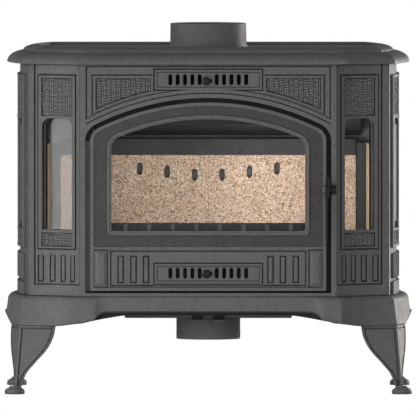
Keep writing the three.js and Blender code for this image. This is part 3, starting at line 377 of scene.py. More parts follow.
def placed(name, data):
    """A new object in the scene."""
    obj = bpy.data.objects.new(name, data)
    bpy.context.scene.collection.objects.link(obj)
    return obj


def weighted(obj):
    modifier = obj.modifiers.new("weighted", "WEIGHTED_NORMAL")
    modifier.keep_sharp = True
    modifier.weight = 80


def bent(solid, place=flat_place, pitch=None):
    """The vertices and faces of a panel-space solid, cut every `pitch` across before it is bent."""
    verts, faces = np.array(solid.verts, float), solid.faces
    if pitch:
        bm = bmesh.new()
        made = [bm.verts.new(v) for v in verts]
        for face in faces:
            try:
                bm.faces.new([made[i] for i in face])
            except ValueError:
                continue
        low, high = verts[:, 0].min(), verts[:, 0].max()
        for u in np.arange(math.ceil((low + 0.01) / pitch) * pitch, high, pitch):
            bmesh.ops.bisect_plane(bm, geom=[*bm.verts, *bm.edges, *bm.faces], dist=1e-5,
                                   plane_co=(u, 0, 0), plane_no=(1, 0, 0))
        bm.verts.index_update()
        verts = np.array([v.co for v in bm.verts])
        faces = [[v.index for v in f.verts] for f in bm.faces]
        bm.free()
    return place(verts), faces


def skin(rings, closed=True, caps=False):
    """Joins rings of equal point count, (x, depth, z) each, into a closed skin."""
    count = len(rings[0])
    levels = len(rings)
    faces = []
    for level_index in range(levels if closed else levels - 1):
        a, b = level_index * count, ((level_index + 1) % levels) * count
        for i in range(count):
            j = (i + 1) % count
            faces.append((a + i, a + j, b + j, b + i))
    if caps:
        faces.append(tuple(range(count))[::-1])
        faces.append(tuple((levels - 1) * count + i for i in range(count)))
    return np.vstack(rings), faces


def turned(profile, centre, axis="z", segments=64, closed=False):
    """Turns a (radius, height) profile about an upright axis, or one along x or depth, through centre."""
    rings = []
    for radius, height in profile:
        circle = arc(0, 0, max(radius, 1e-3), 0, 2 * math.pi, segments)[:-1]
        along = np.full(segments, float(height))
        if axis == "z":
            ring = np.column_stack([circle[:, 0], circle[:, 1], along])
        elif axis == "y":
            ring = np.column_stack([circle[:, 0], along, circle[:, 1]])
        else:
            ring = np.column_stack([along, circle[:, 0], circle[:, 1]])
        rings.append(ring + np.array(centre))
    return skin(rings, closed=closed, caps=not closed)


def dress(obj, node, finish=None):
    """The piece stands for this node, and rides and is finished as it is."""
    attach(obj, BODY_OF[node])
    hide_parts(node)
    paint(obj, finish or SLOT_OF[node])
    return obj


def build(name, node, *parts, mirror=False, finish=None):
    """A piece for a node from (vertices, faces) parts: closed skins in (x, depth, z) millimetres."""
    verts, faces = [], []
    for part_verts, part_faces in parts:
        start = sum(len(v) for v in verts)
        verts.append(np.array(part_verts, float))
        faces.extend([tuple(int(i) + start for i in face) for face in part_faces])
    positions = np.vstack(verts) * ((-1, 1, 1) if mirror else (1, 1, 1))
    positions = (positions + (0, FRONT, 0)) / 1000
    mesh = bpy.data.meshes.new(name)
    mesh.from_pydata(positions.tolist(), [], faces)
    mesh.update()
    bm = bmesh.new()
    bm.from_mesh(mesh)
    bmesh.ops.remove_doubles(bm, verts=bm.verts, dist=2e-6)
    bmesh.ops.dissolve_degenerate(bm, edges=bm.edges, dist=1e-6)
    bmesh.ops.recalc_face_normals(bm, faces=bm.faces)
    bm.to_mesh(mesh)
    bm.free()
    smooth(mesh)
    obj = placed(name, mesh)
    weighted(obj)
    return dress(obj, node, finish)


def rounded_copy(node, width, finish=None):
    """A copy of a CAD node with its flats merged and its edges rounded."""
    obj = placed(node + "_rounded", frame["nodes"][node].data.copy())
    obj.data.materials.clear()
    bm = bmesh.new()
    bm.from_mesh(obj.data)
    bmesh.ops.remove_doubles(bm, verts=bm.verts, dist=2e-6)
    bmesh.ops.dissolve_limit(bm, angle_limit=math.radians(0.5), verts=bm.verts, edges=bm.edges)
    bm.to_mesh(obj.data)
    bm.free()
    smooth(obj.data)
    bevel = obj.modifiers.new("rounding", "BEVEL")
    bevel.width = width / 1000
    bevel.segments = 3
    bevel.limit_method = "ANGLE"
    bevel.angle_limit = math.radians(30)
    bevel.harden_normals = False
    weighted(obj)
    return dress(obj, node, finish)


def lowered(obj, below, by):
    """Moves the low end of a piece down, heights in millimetres."""
    for vertex in obj.data.vertices:
        if vertex.co.z * 1000 < below:
            vertex.co.z -= by / 1000


# --- materials

def feed(node, inputs):
    """Sets a node's inputs by name: a socket is linked to one, and a value is set on it."""
    for name, value in inputs.items():
        if isinstance(value, bpy.types.NodeSocket):
            node.id_data.links.new(value, node.inputs[name])
        else:
            node.inputs[name].default_value = value


def make(tree, kind, inputs):
    """A new shader node with its inputs fed."""
    node = tree.nodes.new("ShaderNode" + kind)
    feed(node, inputs)
    return node


def grey(value, warmth=0.0):
    return (value * (1 + warmth), value, value * (1 - warmth))


def ramp(tree, source, stops):
    """A colour that eases through (place, colour) stops."""
    node = make(tree, "ValToRGB", {"Fac": source})
    node.color_ramp.interpolation = "EASE"
    while len(node.color_ramp.elements) < len(stops):
        node.color_ramp.elements.new(0.5)
    for element, (place, value) in zip(node.color_ramp.elements, stops):
        element.position = place
        element.color = (*value, 1.0)
    return node.outputs["Color"]


def fade(tree, source, start, stop, low, high):
    """A grey that eases from low to high while the source goes from start to stop."""
    return ramp(tree, source, [(start, grey(low)), (stop, grey(high))])


def object_place(tree):
    return make(tree, "TexCoord", {}).outputs["Object"]


def noise(tree, scale, detail=4.0, rough=0.55, distortion=0.0, stretch=(1, 1, 1)):
    """Noise over the object's own coordinates, with features about 1/scale metres wide."""
    mapping = make(tree, "Mapping", {"Vector": object_place(tree), "Scale": stretch})
    return make(tree, "TexNoise", {
        "Vector": mapping.outputs["Vector"], "Scale": scale, "Detail": detail, "Roughness": rough,
        "Distortion": distortion}).outputs["Fac"]


def bump(tree, height, distance, strength, below=None):
    node = make(tree, "Bump", {"Height": height, "Distance": distance, "Strength": strength})
    if below is not None:
        feed(node, {"Normal": below})
    return node.outputs["Normal"]


def mixed(tree, fac, a, b):
    """Mixes two colours, each a socket or an RGB triple, by a socket."""
    node = tree.nodes.new("ShaderNodeMix")
    node.data_type = "RGBA"
    for key, value in (("Factor", fac), ("A", a), ("B", b)):
        socket = next(i for i in node.inputs if i.name == key and i.enabled)
        if isinstance(value, bpy.types.NodeSocket):
            tree.links.new(value, socket)
        else:
            socket.default_value = (*value, 1.0)
    return next(o for o in node.outputs if o.enabled)


def new_material(name):
    material = bpy.data.materials.new(name)
    material.use_nodes = True
    return material, material.node_tree, material.node_tree.nodes["Principled BSDF"]


def wear_and_highlight_edges(tree):
    """One along sharp edges, where a rounded normal parts from the surface's own, and zero elsewhere: the
    edges it lightens are partly rubbed wear and partly painted highlight.
    """
    rounded = make(tree, "Bevel", {"Radius": 0.0011})
    rounded.samples = 4
    agree = tree.nodes.new("ShaderNodeVectorMath")
    agree.operation = "DOT_PRODUCT"
    tree.links.new(rounded.outputs["Normal"], agree.inputs[0])
    tree.links.new(make(tree, "NewGeometry", {}).outputs["Normal"], agree.inputs[1])
    return fade(tree, agree.outputs["Value"], 0.8, 0.97, 1.0, 0.0)


def painted_crevice_shade(tree):
    """Painted shade in sunk lines and corners, by how open the surface is nearby."""
    node = make(tree, "AmbientOcclusion", {"Distance": 0.009})
    node.samples = 6
    return ramp(tree, node.outputs["AO"], [(0.22, grey(0.93)), (0.45, grey(0.6)), (0.85, grey(0.0))])


def iron(name, value, grain=1.0, rough=0.52):
    """Sand-cast iron under a matt stove finish: fine grain, faint mottling, edges painted a little lighter as
    rubbed wear and painted highlight, and painted shade in sunk lines and corners.
    """
    material, tree, shader = new_material(name)
    fine = noise(tree, 520, 5, 0.75)
    mottle = noise(tree, 55, 4, 0.6)
    cloud = noise(tree, 7, 2, 0.5)
    colour = ramp(tree, fine, [(0.3, grey(value * 0.55, 0.01)), (0.7, grey(value * 1.5, 0.02))])
    colour = mixed(tree, fade(tree, mottle, 0.38, 0.72, 0.0, 0.4), colour, grey(value * 0.78, 0.02))
    colour = mixed(tree, fade(tree, cloud, 0.4, 0.7, 0.0, 0.3), colour, grey(value * 1.12, 0.03))
    # edges painted lighter: partly rubbed wear, partly painted highlight
    colour = mixed(tree, wear_and_highlight_edges(tree), colour, grey(value * 1.7, 0.02))
    # painted shade: sunk lines and corners darkened towards near black
    colour = mixed(tree, painted_crevice_shade(tree), colour, grey(value * 0.06))
    coarse = bump(tree, noise(tree, 260, 3, 0.6), 0.00035 * grain, 0.8)
    feed(shader, {
        "Base Color": colour, "Metallic": 0.0, "Specular IOR Level": 0.42,
        "Roughness": fade(tree, mottle, 0.3, 0.7, rough - 0.06, rough + 0.08),
        "Normal": bump(tree, fine, 0.00018 * grain, 0.8, coarse)})
    return material


def black_steel():
    """Blackened steel, a little glossier than the castings."""
    material, tree, shader = new_material("black_steel")
    fine = noise(tree, 1400, 4, 0.65)
    feed(shader, {
        # edges painted lighter: partly rubbed wear, partly painted highlight
        "Base Color": mixed(tree, wear_and_highlight_edges(tree), fade(tree, fine, 0.3, 0.7, 0.012, 0.022), grey(0.045)),
        "Roughness": fade(tree, noise(tree, 90, 3), 0.35, 0.7, 0.34, 0.46),
        "Normal": bump(tree, fine, 0.0001, 0.5)})
    return material


def plate_steel(name, value):
    """Grey rolled sheet, dulled by heat, with faint soot and rolling lines."""
    material, tree, shader = new_material(name)
    rolled = noise(tree, 240, 3, 0.6, 0.0, (1, 1, 0.06))
    soot = noise(tree, 14, 4, 0.65, 0.4)
    colour = ramp(tree, rolled, [(0.3, grey(value * 0.94)), (0.7, grey(value * 1.05, -0.02))])
    feed(shader, {
        "Base Color": mixed(tree, fade(tree, soot, 0.42, 0.78, 0.0, 0.4), colour, grey(value * 0.6, 0.04)),
        "Roughness": fade(tree, soot, 0.3, 0.7, 0.42, 0.6),
        "Normal": bump(tree, rolled, 0.00004, 0.4)})
    return material


def vermiculite():
    """Pressed vermiculite board: beige, with brown, cream and blue-grey flakes."""
    material, tree, shader = new_material("vermiculite")
    flakes = make(tree, "TexVoronoi", {"Vector": object_place(tree), "Scale": 520, "Randomness": 1.0})
    split = make(tree, "SeparateColor", {"Color": flakes.outputs["Color"]})
    colour = ramp(tree, split.outputs["Red"], [
        (0.0, (0.11, 0.055, 0.03)), (0.22, (0.30, 0.19, 0.115)), (0.5, (0.49, 0.345, 0.235)),
        (0.78, (0.64, 0.50, 0.37)), (0.93, (0.31, 0.31, 0.31)), (1.0, (0.78, 0.68, 0.55))])
    cloud = fade(tree, noise(tree, 30, 4, 0.6), 0.35, 0.75, 0.0, 0.35)
    grain = bump(tree, noise(tree, 420, 4, 0.7), 0.0006, 0.7)
    feed(shader, {
        "Base Color": mixed(tree, cloud, colour, (0.36, 0.26, 0.19)), "Roughness": 0.92,
        "Specular IOR Level": 0.2, "Normal": bump(tree, flakes.outputs["Distance"], 0.0005, 0.5, grain)})
    return material


def rope_seal():
    """Braided glass fibre rope."""
    material, tree, shader = new_material("rope_seal")
    fibre = noise(tree, 900, 4, 0.7)
    feed(shader, {
        "Base Color": ramp(tree, fibre, [(0.3, (0.16, 0.155, 0.145)), (0.7, (0.34, 0.33, 0.31))]),
        "Roughness": 0.95, "Sheen Weight": 0.2, "Normal": bump(tree, fibre, 0.0005, 0.8)})
    return material


def ceramic_glass():
    """Clear glass ceramic with a faint grey tint and a trace of dust."""
    material, tree, shader = new_material("ceramic_glass")
    feed(shader, {
        "Base Color": (0.02, 0.02, 0.021, 1.0), "Roughness": 0.02, "IOR": 2.6,
        "Alpha": fade(tree, noise(tree, 22, 4, 0.6), 0.4, 0.8, 0.1, 0.13)})
    return material


MAKERS = {
    "cast_iron": lambda: iron("cast_iron", 0.155),
    "door_iron": lambda: iron("door_iron", 0.075, 0.9, 0.5),
    # lighter iron: painted highlight on the raised bars of the woven fields
    "painted_highlight_iron": lambda: iron("painted_highlight_iron", 0.22),
    # near-black iron: painted shade for gaps, undersides and the firebox top
    "painted_shade_iron": lambda: iron("painted_shade_iron", 0.022),
    "black_steel": black_steel,
    "plate_steel": lambda: plate_steel("plate_steel", 0.036),
    # lighter copy of the plate steel: painted light on the deflector and log guard
    "painted_lit_plate": lambda: plate_steel("painted_lit_plate", 0.08),
    # much lighter copy of the plate steel: painted light on the strap lips and log guard tabs
    "painted_lit_fin_plate": lambda: plate_steel("painted_lit_fin_plate", 0.2),
    "vermiculite": vermiculite,
    "rope_seal": rope_seal,
    "ceramic_glass": ceramic_glass,
}
MATERIALS = {}


def finish_named(name):
    if name not in MATERIALS:
        MATERIALS[name] = MAKERS[name]()
    return MATERIALS[name]


def paint(obj, finish):
    """Fills every material slot of an object, and gives it one if it has none."""
    if not obj.data.materials:
        obj.data.materials.append(None)
    for index in range(len(obj.data.materials)):
        obj.data.materials[index] = finish_named(finish)


def refinish(obj, finish, chosen):
    """Gives another finish to the faces whose middle, as (x, depth, z) millimetres, is chosen."""
    obj.data.materials.append(finish_named(finish))
    last = len(obj.data.materials) - 1
    for face in obj.data.polygons:
        x, y, z = face.center * 1000
        if chosen(x, y - FRONT, z):
            face.material_index = last


# --- top plate, collar and base

def top_plate():
    """A two-step ovolo lip round a sunk field, with the flue's bore through it."""
    lip_reach, lip_rise = 32, 21.5
    step_reach, step_rise = 27, 10.5
    rim = TOP_HIGH[2]
    field = rim - 5
    under = field - 9

    def ring(front, side, rear, z):
        return level(plan(front, side, rear, LIP_BULGE), z)

    rings = [ring(13.2, 14.7, 5.2, BODY_TOP), ring(14, 15.5, 6, BODY_TOP + 0.8)]
    for c, s in quarter(12)[1:]:
        back = lip_reach * (1 - c)
        rings.append(ring(14 - back, 15.5 - back, 6, BODY_TOP + lip_rise * s))
    for c, s in quarter(8):
        back = step_reach * (1 - c)
        rings.append(ring(-19 - back, -16 - back, 6, BODY_TOP + lip_rise + 1 + step_rise * s))
    for inward, z in ((0, rim), (0.7, rim - 0.7), (1.5, field + 0.8), (2.3, field)):
        rings.append(ring(-48 - inward, -45 - inward, -23 - inward, z))
    hole = onto_circle(rings[-1][:, :2], np.array([0, FLUE_DEPTH]), FLUE_BORE)
    rings += [level(hole, field), level(hole, under), level(plan(-14), under), level(plan(-14), BODY_TOP)]
    build("top_plate_casting", "top_plate", skin(rings))


def flue_collar():
    """A short ring whose foot flares a little and whose rim is rounded."""
    foot, top = COLLAR_LOW[2], COLLAR_HIGH[2]
    profile = [(FLUE_BORE, foot), (76.6, foot), (76.6, foot + 1), (75.6, foot + 4), (74.6, foot + 12),
               (74.1, top - 2.6), (73.9, top - 1.2), (73.2, top - 0.3), (72.3, top),
               (FLUE_BORE + 1, top), (FLUE_BORE, top - 1)]
    build("flue_collar_ring", "flue_collar", turned(profile, (0, FLUE_DEPTH, 0), segments=96, closed=True))


COVE_IN, COVE_OUT = 198.0, 221.6
SLOPE_OUT, SLOPE_IN, SLOPE_RISE = 295.0, 163.0, 22.0
FACE_RISE = 28.0
# how far the skirt stands out in front, at the sides and behind, at its foot and below its rounded top
SKIRT_FOOT = np.array([18, 20, 8])
SKIRT_HEAD = np.array([12.6, 14, 6])


def cove(x):
    """How far into the set-back middle of the skirt a place across it is, from 0 to 1."""
    return np.clip((COVE_OUT - np.abs(x)) / (COVE_OUT - COVE_IN), 0, 1)


def skirt_bottom(x):
    """The lowest edge of the skirt's front."""
    return BASE_LOW[2] + SLOPE_RISE * np.clip((SLOPE_OUT - np.abs(x)) / (SLOPE_OUT - SLOPE_IN), 0, 1)


def face_bottom(x):
    """The lower edge of the skirt's front face, which stands in front of the lowest edge."""
    low = skirt_bottom(x)
    return low + np.sin(cove(x) * math.pi / 2) ** 0.8 * (BASE_LOW[2] + FACE_RISE - low)


def base_frame():
    """The skirt's front is set back between two blocks, above a lower edge that slopes up from them."""
    bottom, top = BASE_LOW[2], BASE_HIGH[2]
    round_over = 13.0
    shoulder = top - round_over
    set_back = 4.0
    arch_start, arch_end, arch_rise = 120, 382, 21
    lip = 2.6

    def edge_z(ring):
        y = ring[:, 1]
        span = np.clip((y - arch_start) / (arch_end - arch_start), 0, 1)
        side = bottom + 4 * arch_rise * span * (1 - span)
        return np.where((y < 20) | (y > BACK_DEPTH), skirt_bottom(ring[:, 0]), side)

    def skirt(front, side, back, z):
        ring = plan(front, side, back, LIP_BULGE)
        reach = front - set_back * min(front / SKIRT_HEAD[0], 1)
        inward = reach * np.sin(cove(ring[:, 0]) * math.pi / 2)
        ring[:, 1] = np.where(ring[:, 1] <= -front + 1e-6, ring[:, 1] + inward, ring[:, 1])
        return level(ring, z)

    lower = plan(*SKIRT_FOOT, LIP_BULGE)
    edge = edge_z(lower)
    on_front = (lower[:, 1] < 0.1 - SKIRT_FOOT[0]) * 1.0
    recess = on_front * np.sqrt(np.sin(cove(lower[:, 0]) * math.pi / 2) ** 0.8)
    lower_z = np.where(on_front > 0, face_bottom(lower[:, 0]), edge)
    tucked = skirt(*(SKIRT_FOOT - 2.4), edge)
    tucked[:, 1] += recess * 7
    half_way = skirt(*(SKIRT_FOOT - 0.7), edge + (lower_z - edge) * 0.85 + 0.8)
    half_way[:, 1] += recess * 5
    inner = plan(-8, 4, -3, LIP_BULGE)
    rings = [level(inner, edge), tucked, half_way, skirt(*SKIRT_FOOT, lower_z + lip)]
    for t in (0.25, 0.5, 0.75, 1.0):
        z = np.maximum(lower_z + lip + 0.4 * t, bottom + (shoulder - 2 - bottom) * t)
        rings.append(skirt(*(SKIRT_FOOT + (SKIRT_HEAD - SKIRT_FOOT) * t), z))
    for c, s in quarter(10):
        rings.append(skirt(*(SKIRT_HEAD * c), shoulder + round_over * s))
    hatch = hatch_ring(inner)
    web = top - 8.5
    rings += [level(hatch, top), level(hatch, web), level(inner, web)]
    casting = build("base_frame_casting", "base_frame", skin(rings))
    # Painted shade: the faces under the set-back middle of the skirt, below its front face, get the
    # near-black iron where the overhang shades them.
    refinish(casting, "painted_shade_iron", lambda x, depth, z: depth < 20 and abs(x) < COVE_OUT
             and z < face_bottom(x) + 0.6)


AIR_LOW, AIR_HIGH = node_box("air_box")
HATCH_GAP = 3


def hatch_ring(ring):
    """The rectangular hatch round the air box, met in the directions of a ring's points."""
    middle = np.array([0, (AIR_LOW[1] + AIR_HIGH[1]) / 2])
    half = np.array([AIR_HIGH[0], (AIR_HIGH[1] - AIR_LOW[1]) / 2]) + HATCH_GAP
    away = ring - middle
    reach = 1 / np.max(np.abs(away) / half, axis=1)
    return middle + away * reach[:, None]


top_plate()
flue_collar()
base_frame()


# --- legs

LEG_TOP = node_box("leg_front_right")[1][2]
LEG_BOTTOM, LEG_THICKNESS = 11.0, 7.0
RIB = 3.8
LEG_OUTLINE = [(70, LEG_TOP), (67, 110), (56, 86), (34, 59), (19, 38.5), (11, LEG_BOTTOM)]  # (width, z)
PAD = [(0, 0), (18.3, 0), (19.2, 0.5), (19.5, 1.4), (19.5, 5.5), (19.0, 7.6), (17.4, 9.6),
       (14.6, 11.2), (12.2, 12.2), (10.8, 13.6), (10.2, 16), (0, 16)]


def spline(points, t):
    """A Catmull-Rom curve through points, at t from 0 to 1."""
    points = np.array(points, float)
    place = t * (len(points) - 1)
    i = min(int(place), len(points) - 2)
    f = place - i
    p0, p1 = points[max(i - 1, 0)], points[i]
    p2, p3 = points[i + 1], points[min(i + 2, len(points) - 1)]
    v0, v1 = (p2 - p0) / 2, (p3 - p1) / 2
    return ((2 * p1 - 2 * p2 + v0 + v1) * f ** 3 + (-3 * p1 + 3 * p2 - 2 * v0 - v1) * f ** 2
            + v0 * f + p1)


def leg(name, node, corner, foot, wing_a, wing_b, mirror):
    """Two wings that narrow in an S-curve, each a sunk panel inside a raised rib."""
    corner, foot = np.array(corner), np.array(foot)
    wing_a, wing_b = (np.array(w) / np.linalg.norm(w) for w in (wing_a, wing_b))
    inward = (wing_a + wing_b) / np.linalg.norm(wing_a + wing_b)
    from_rib = [-0.4, 0.5, 2.2, 3.0]
    sunk_by = [0.0, 3.2, 3.2, 1.2]
    curve = [spline(LEG_OUTLINE, t) for t in np.linspace(0, 1, 56)]
    extra = [LEG_TOP - 0.5, *(LEG_TOP - RIB - e for e in from_rib)]
    widths = {z: w for w, z in curve}
    for z in extra:
        widths[z] = float(np.interp(-z, [-p[1] for p in curve], [p[0] for p in curve]))
    rings = []
    for z in sorted(widths):
        width = widths[z]
        ridge = corner + (foot - corner) * (LEG_TOP - z) / (LEG_TOP - LEG_BOTTOM)
        near = np.minimum([0.9, *(RIB + e for e in from_rib), RIB + 5], width / 2)
        far = width - near[::-1]
        across = np.concatenate([near, near[-1] + (far[0] - near[-1]) * np.array([0.33, 0.66]), far])
        inside = np.minimum(np.minimum(across - RIB, width - RIB - across), LEG_TOP - RIB - z)
        sunk = np.interp(inside, from_rib, sunk_by)
        sides = []
        for wing, other in ((wing_a, wing_b), (wing_b, wing_a)):
            normal = other - wing * np.dot(other, wing)
            normal /= np.linalg.norm(normal)
            outer = [ridge + wing * w + normal * d for w, d in zip(across, sunk)]
            outer.append(ridge + wing * width + normal * 0.7)
            inner = ridge + wing * width + normal * LEG_THICKNESS
            sides.append((outer, inner))
        reach = LEG_THICKNESS / math.sin(math.acos(np.dot(wing_a, wing_b)) / 2)
        loop = [*sides[0][0][::-1], ridge + inward * 0.6, *sides[1][0], sides[1][1],
                ridge + inward * reach, sides[0][1]]
        rings.append(level(np.array(loop), z))
    pad = turned(PAD, (*foot, 0), segments=48)
    build(name, node, skin(rings, closed=False, caps=True), pad, mirror=mirror)


# each leg's corner and foot in plan, and the directions of its two wings
LEGS = {
    "front": ((367.3, 51.5), (377, 45), (-0.985, -0.175), (0.249, 0.969)),
    "rear": ((368, 442), (377, 435), (-1, 0), (0.22, -0.975)),
}
for side, flip in (("right", False), ("left", True)):
    for end, shape in LEGS.items():
        leg(f"{end}_leg_{side}", f"leg_{end}_{side}", *shape, flip)


# --- cast ornament

def weave(seed):
    """Rough basketweave relief: short bars, upright or lying, in columns with deeper grooves between."""
    draw = random.Random(seed)
    columns, rows = 200, 400
    upright = np.array([[draw.random() < 0.42 for _ in range(rows)] for _ in range(columns)])
    lift = np.array([[draw.uniform(0.55, 1.0) for _ in range(rows)] for _ in range(columns)])
    shift = np.array([draw.uniform(-2.5, 2.5) for _ in range(columns)])
    column, bar, tallest = 9.6, 5.0, 3.3
    far_left = 4000  # keeps every column's number above zero

    def height(u, v):
        wobble = 0.5 * np.sin(v * 0.31) + 0.35 * np.sin(u * 0.47 + v * 0.13)
        uu = u + wobble + far_left
        col = np.floor(uu / column).astype(int)
        fu = uu / column - col
        vv = v + shift[col % columns] + 0.4 * np.sin(u * 0.6)
        row = np.floor(vv / (2 * bar)).astype(int)
        fv = vv / (2 * bar) - row
        standing = upright[col % columns, row % rows]
        along = np.where(standing, fu * 2 % 1.0, fv * 2 % 1.0)
        rank = np.where(standing, np.floor(fu * 2), np.floor(fv * 2)).astype(int)
        tall = lift[(col * 2 + rank) % columns, (row * 3 + rank) % rows]
        swell = np.clip(1 - (2 * along - 1) ** 2, 0, 1) ** 0.75
        ends = np.clip(np.minimum(fu, 1 - fu) * column / 1.1, 0, 1)
        tips = np.clip(np.minimum(fv, 1 - fv) * 2 * bar / 0.9, 0, 1)
        return tallest * tall * swell * np.minimum(ends, np.where(standing, tips, 1.0))

    return height


def vent_slots(z):
    return [slot(x, z, *SLOT_SIZE) for x in SLOT_XS]


def stem_slot(z):
    return rect(-7.3, 7.3, z - 3.5, z + 3.5, 3.45, 6)


GROOVE = 2.3  # width of the sunk line cast round each raised part
FLOOR = -5.4  # how deep the sunk lines go
SEAT = FLOOR - 0.2  # where raised parts start, a little inside the floor


def vent_boss(solid, vent):
    """A raised border round a raised field with ten slots."""
    holes = [*vent_slots(vent["slots"]), stem_slot(vent["knob"])]
    edges = [rect(m - VENT_HALF, VENT_HALF - m, vent["bottom"] + m, vent["top"] - m) for m in (0, 4.4, 6.0)]
    solid.plate([edges[0], *holes], SEAT, -1.2, 0.3)
    solid.plate([edges[0], edges[1]], -1.6, 0.9, 0.9)
    solid.plate([edges[2], *holes], -1.6, 0.9, 0.9)


FLUTE_HALF = 4.1


def flute(solid, u, floor, top, bottom_v, top_v):
    """A rounded upright bar standing on a sunk floor."""
    solid.plate([rect(u - FLUTE_HALF, u + FLUTE_HALF, bottom_v, top_v, 1.2)], floor, top, 1.6, 4)


# --- front frame

PLATE_Z = (BODY_BOTTOM + GAP, BODY_TOP - GAP)
ARCH_BAND = OPENING["radius"] + 8.8


POST_LINE = 238.2  # where the fascia ends at the corner posts
FASCIA_TOP = PLATE_Z[1] - 2.6
FIELD_RADIUS = ARCH_BAND + 10.2
SPANDREL = dict(x0=112, x1=218.9, top=616, radius=518.4)


def spandrel(x0, x1, top, radius, side):
    """A three-sided frame between the vent, the post and the arch."""
    a0, a1 = math.acos(x0 / radius), math.acos(x1 / radius)
    loop = np.vstack([[(x0, top)], arc(0, ARC_Z, radius, a0, a1, 16), [(x1, top)]])
    return loop * (side, 1)


def in_weave(x, z):
    """Inside the spandrels' woven fields, which run a little under their frames."""
    x = np.abs(x)
    return (x > 113) & (x < 217.8) & (z < 614.8) & (np.hypot(x, z - ARC_Z) > 519.8)


def fascia_field():
    """The sunk field round the vent and the spandrel frames, one groove's width short of each."""
    reach, top = POST_LINE - GROOVE, FASCIA_TOP - GROOVE * 0.7
    side, boss_top = VENT_HALF + GROOVE, UPPER_VENT["top"] + GROOVE
    a, b = math.acos(reach / FIELD_RADIUS), math.acos(side / FIELD_RADIUS)
    right = arc(0, ARC_Z, FIELD_RADIUS, a, b, 24)
    left = arc(0, ARC_Z, FIELD_RADIUS, math.pi - b, math.pi - a, 24)
    outer = np.vstack([right, [(side, boss_top), (-side, boss_top)], left, [(-reach, top), (reach, top)]])
    holes = [spandrel(109.5, 224.5 + GROOVE, 621.3 + GROOVE, 512.6, sign) for sign in (1, -1)]
    return [outer, *holes]


def under_vent(sign):
    """The slip of fascia left between the vent's lower edge and the arch."""
    side, low = VENT_HALF + GROOVE, UPPER_VENT["bottom"] - GROOVE
    a, b = math.acos(side / FIELD_RADIUS), math.asin((low - ARC_Z) / FIELD_RADIUS)
    slip = np.vstack([arc(0, ARC_Z, FIELD_RADIUS, a, b, 8), [(side, low)]])
    return slip * [sign, 1]


def front_frame():
    """The fascia above the door with its vent and spandrels, the posts, and the wall behind the opening."""
    half = FRONT_HALF - GAP
    solid = Solid()
    outer, opening = rect(-half, half, *PLATE_Z), arched(**OPENING)
    upper = [*vent_slots(UPPER_VENT["slots"]), stem_slot(UPPER_VENT["knob"])]
    solid.plate([outer, opening, *upper], -8, FLOOR, 0.2)
    spring = math.acos(POST_LINE / ARCH_BAND)
    fascia = np.vstack([arc(0, ARC_Z, ARCH_BAND, spring, math.pi - spring, 48),
                        [(-POST_LINE, FASCIA_TOP), (POST_LINE, FASCIA_TOP)]])
    solid.plate([outer, opening, fascia], SEAT, 0, 0.9)
    solid.plate(fascia_field(), SEAT, -1.5, 0.6)
    band = np.vstack([arc(0, ARC_Z, ARCH_BAND + 1.6, spring, math.pi - spring, 48),
                      arc(0, ARC_Z, ARCH_BAND + 9.0, math.pi - spring - 0.006, spring + 0.006, 48)])
    solid.plate([band], SEAT, -0.5, 0.9)
    vent_boss(solid, UPPER_VENT)
    for side in (1, -1):
        solid.plate([under_vent(side)], SEAT, -1.5, 0.3)
        solid.plate([spandrel(106.6, 224.5, 621.3, 513.6, side), spandrel(**SPANDREL, side=side)],
                    SEAT, 0, 0.9)
    wall = arched(**inset(OPENING, -6))
    solid.plate([wall, opening], -18.5, -7.5, 0.4)
    solid.plate([wall, arched(**FLANGE)], -24, -18, 0.8)
    parts = [bent(solid)]
    for side, seed in ((1, 11), (-1, 12)):
        field = Solid()
        u0, u1 = sorted((side * 107, side * 220))
        field.grid(u0, u1, 545, 616.5, 0.9, weave(seed), in_weave, -3.6, 2)
        parts.append(bent(field))
    casting = build("front_frame_casting", "front_frame", *parts)
    # Painted shade: faces more than 6.5 mm behind the front get the near-black iron, except low on the left
    # where the gap stays lit.
    refinish(casting, "painted_shade_iron", lambda x, depth, z: depth > 6.5 and (x > -150 or z > 450))
    # Painted highlight: the raised bars of the woven fields get a lighter iron standing in for raking light.
    refinish(casting, "painted_highlight_iron", lambda x, depth, z: z > 545 and 0.1 < depth < 1.7 and in_weave(x, z))


front_frame()


# --- canted corner panels

WINDOW = dict(u0=24.3, u1=94.5, bottom=320.2, top=536.8, r=17.0)
FLUTE_PITCH = 24.6
FRAME_Z = (283.5, 620.6)  # the raised frames round the windows and bays
CANT_WEAVES = ((543.2, 614.0), (288.9, 312.8))


def window(margin):
    """The outline of the panel's window, let out by a margin."""
    w = WINDOW
    return rect(w["u0"] - margin, w["u1"] + margin, w["bottom"] - margin, w["top"] + margin,
                w["r"] + margin, 10, (0, 0, 1, 1))


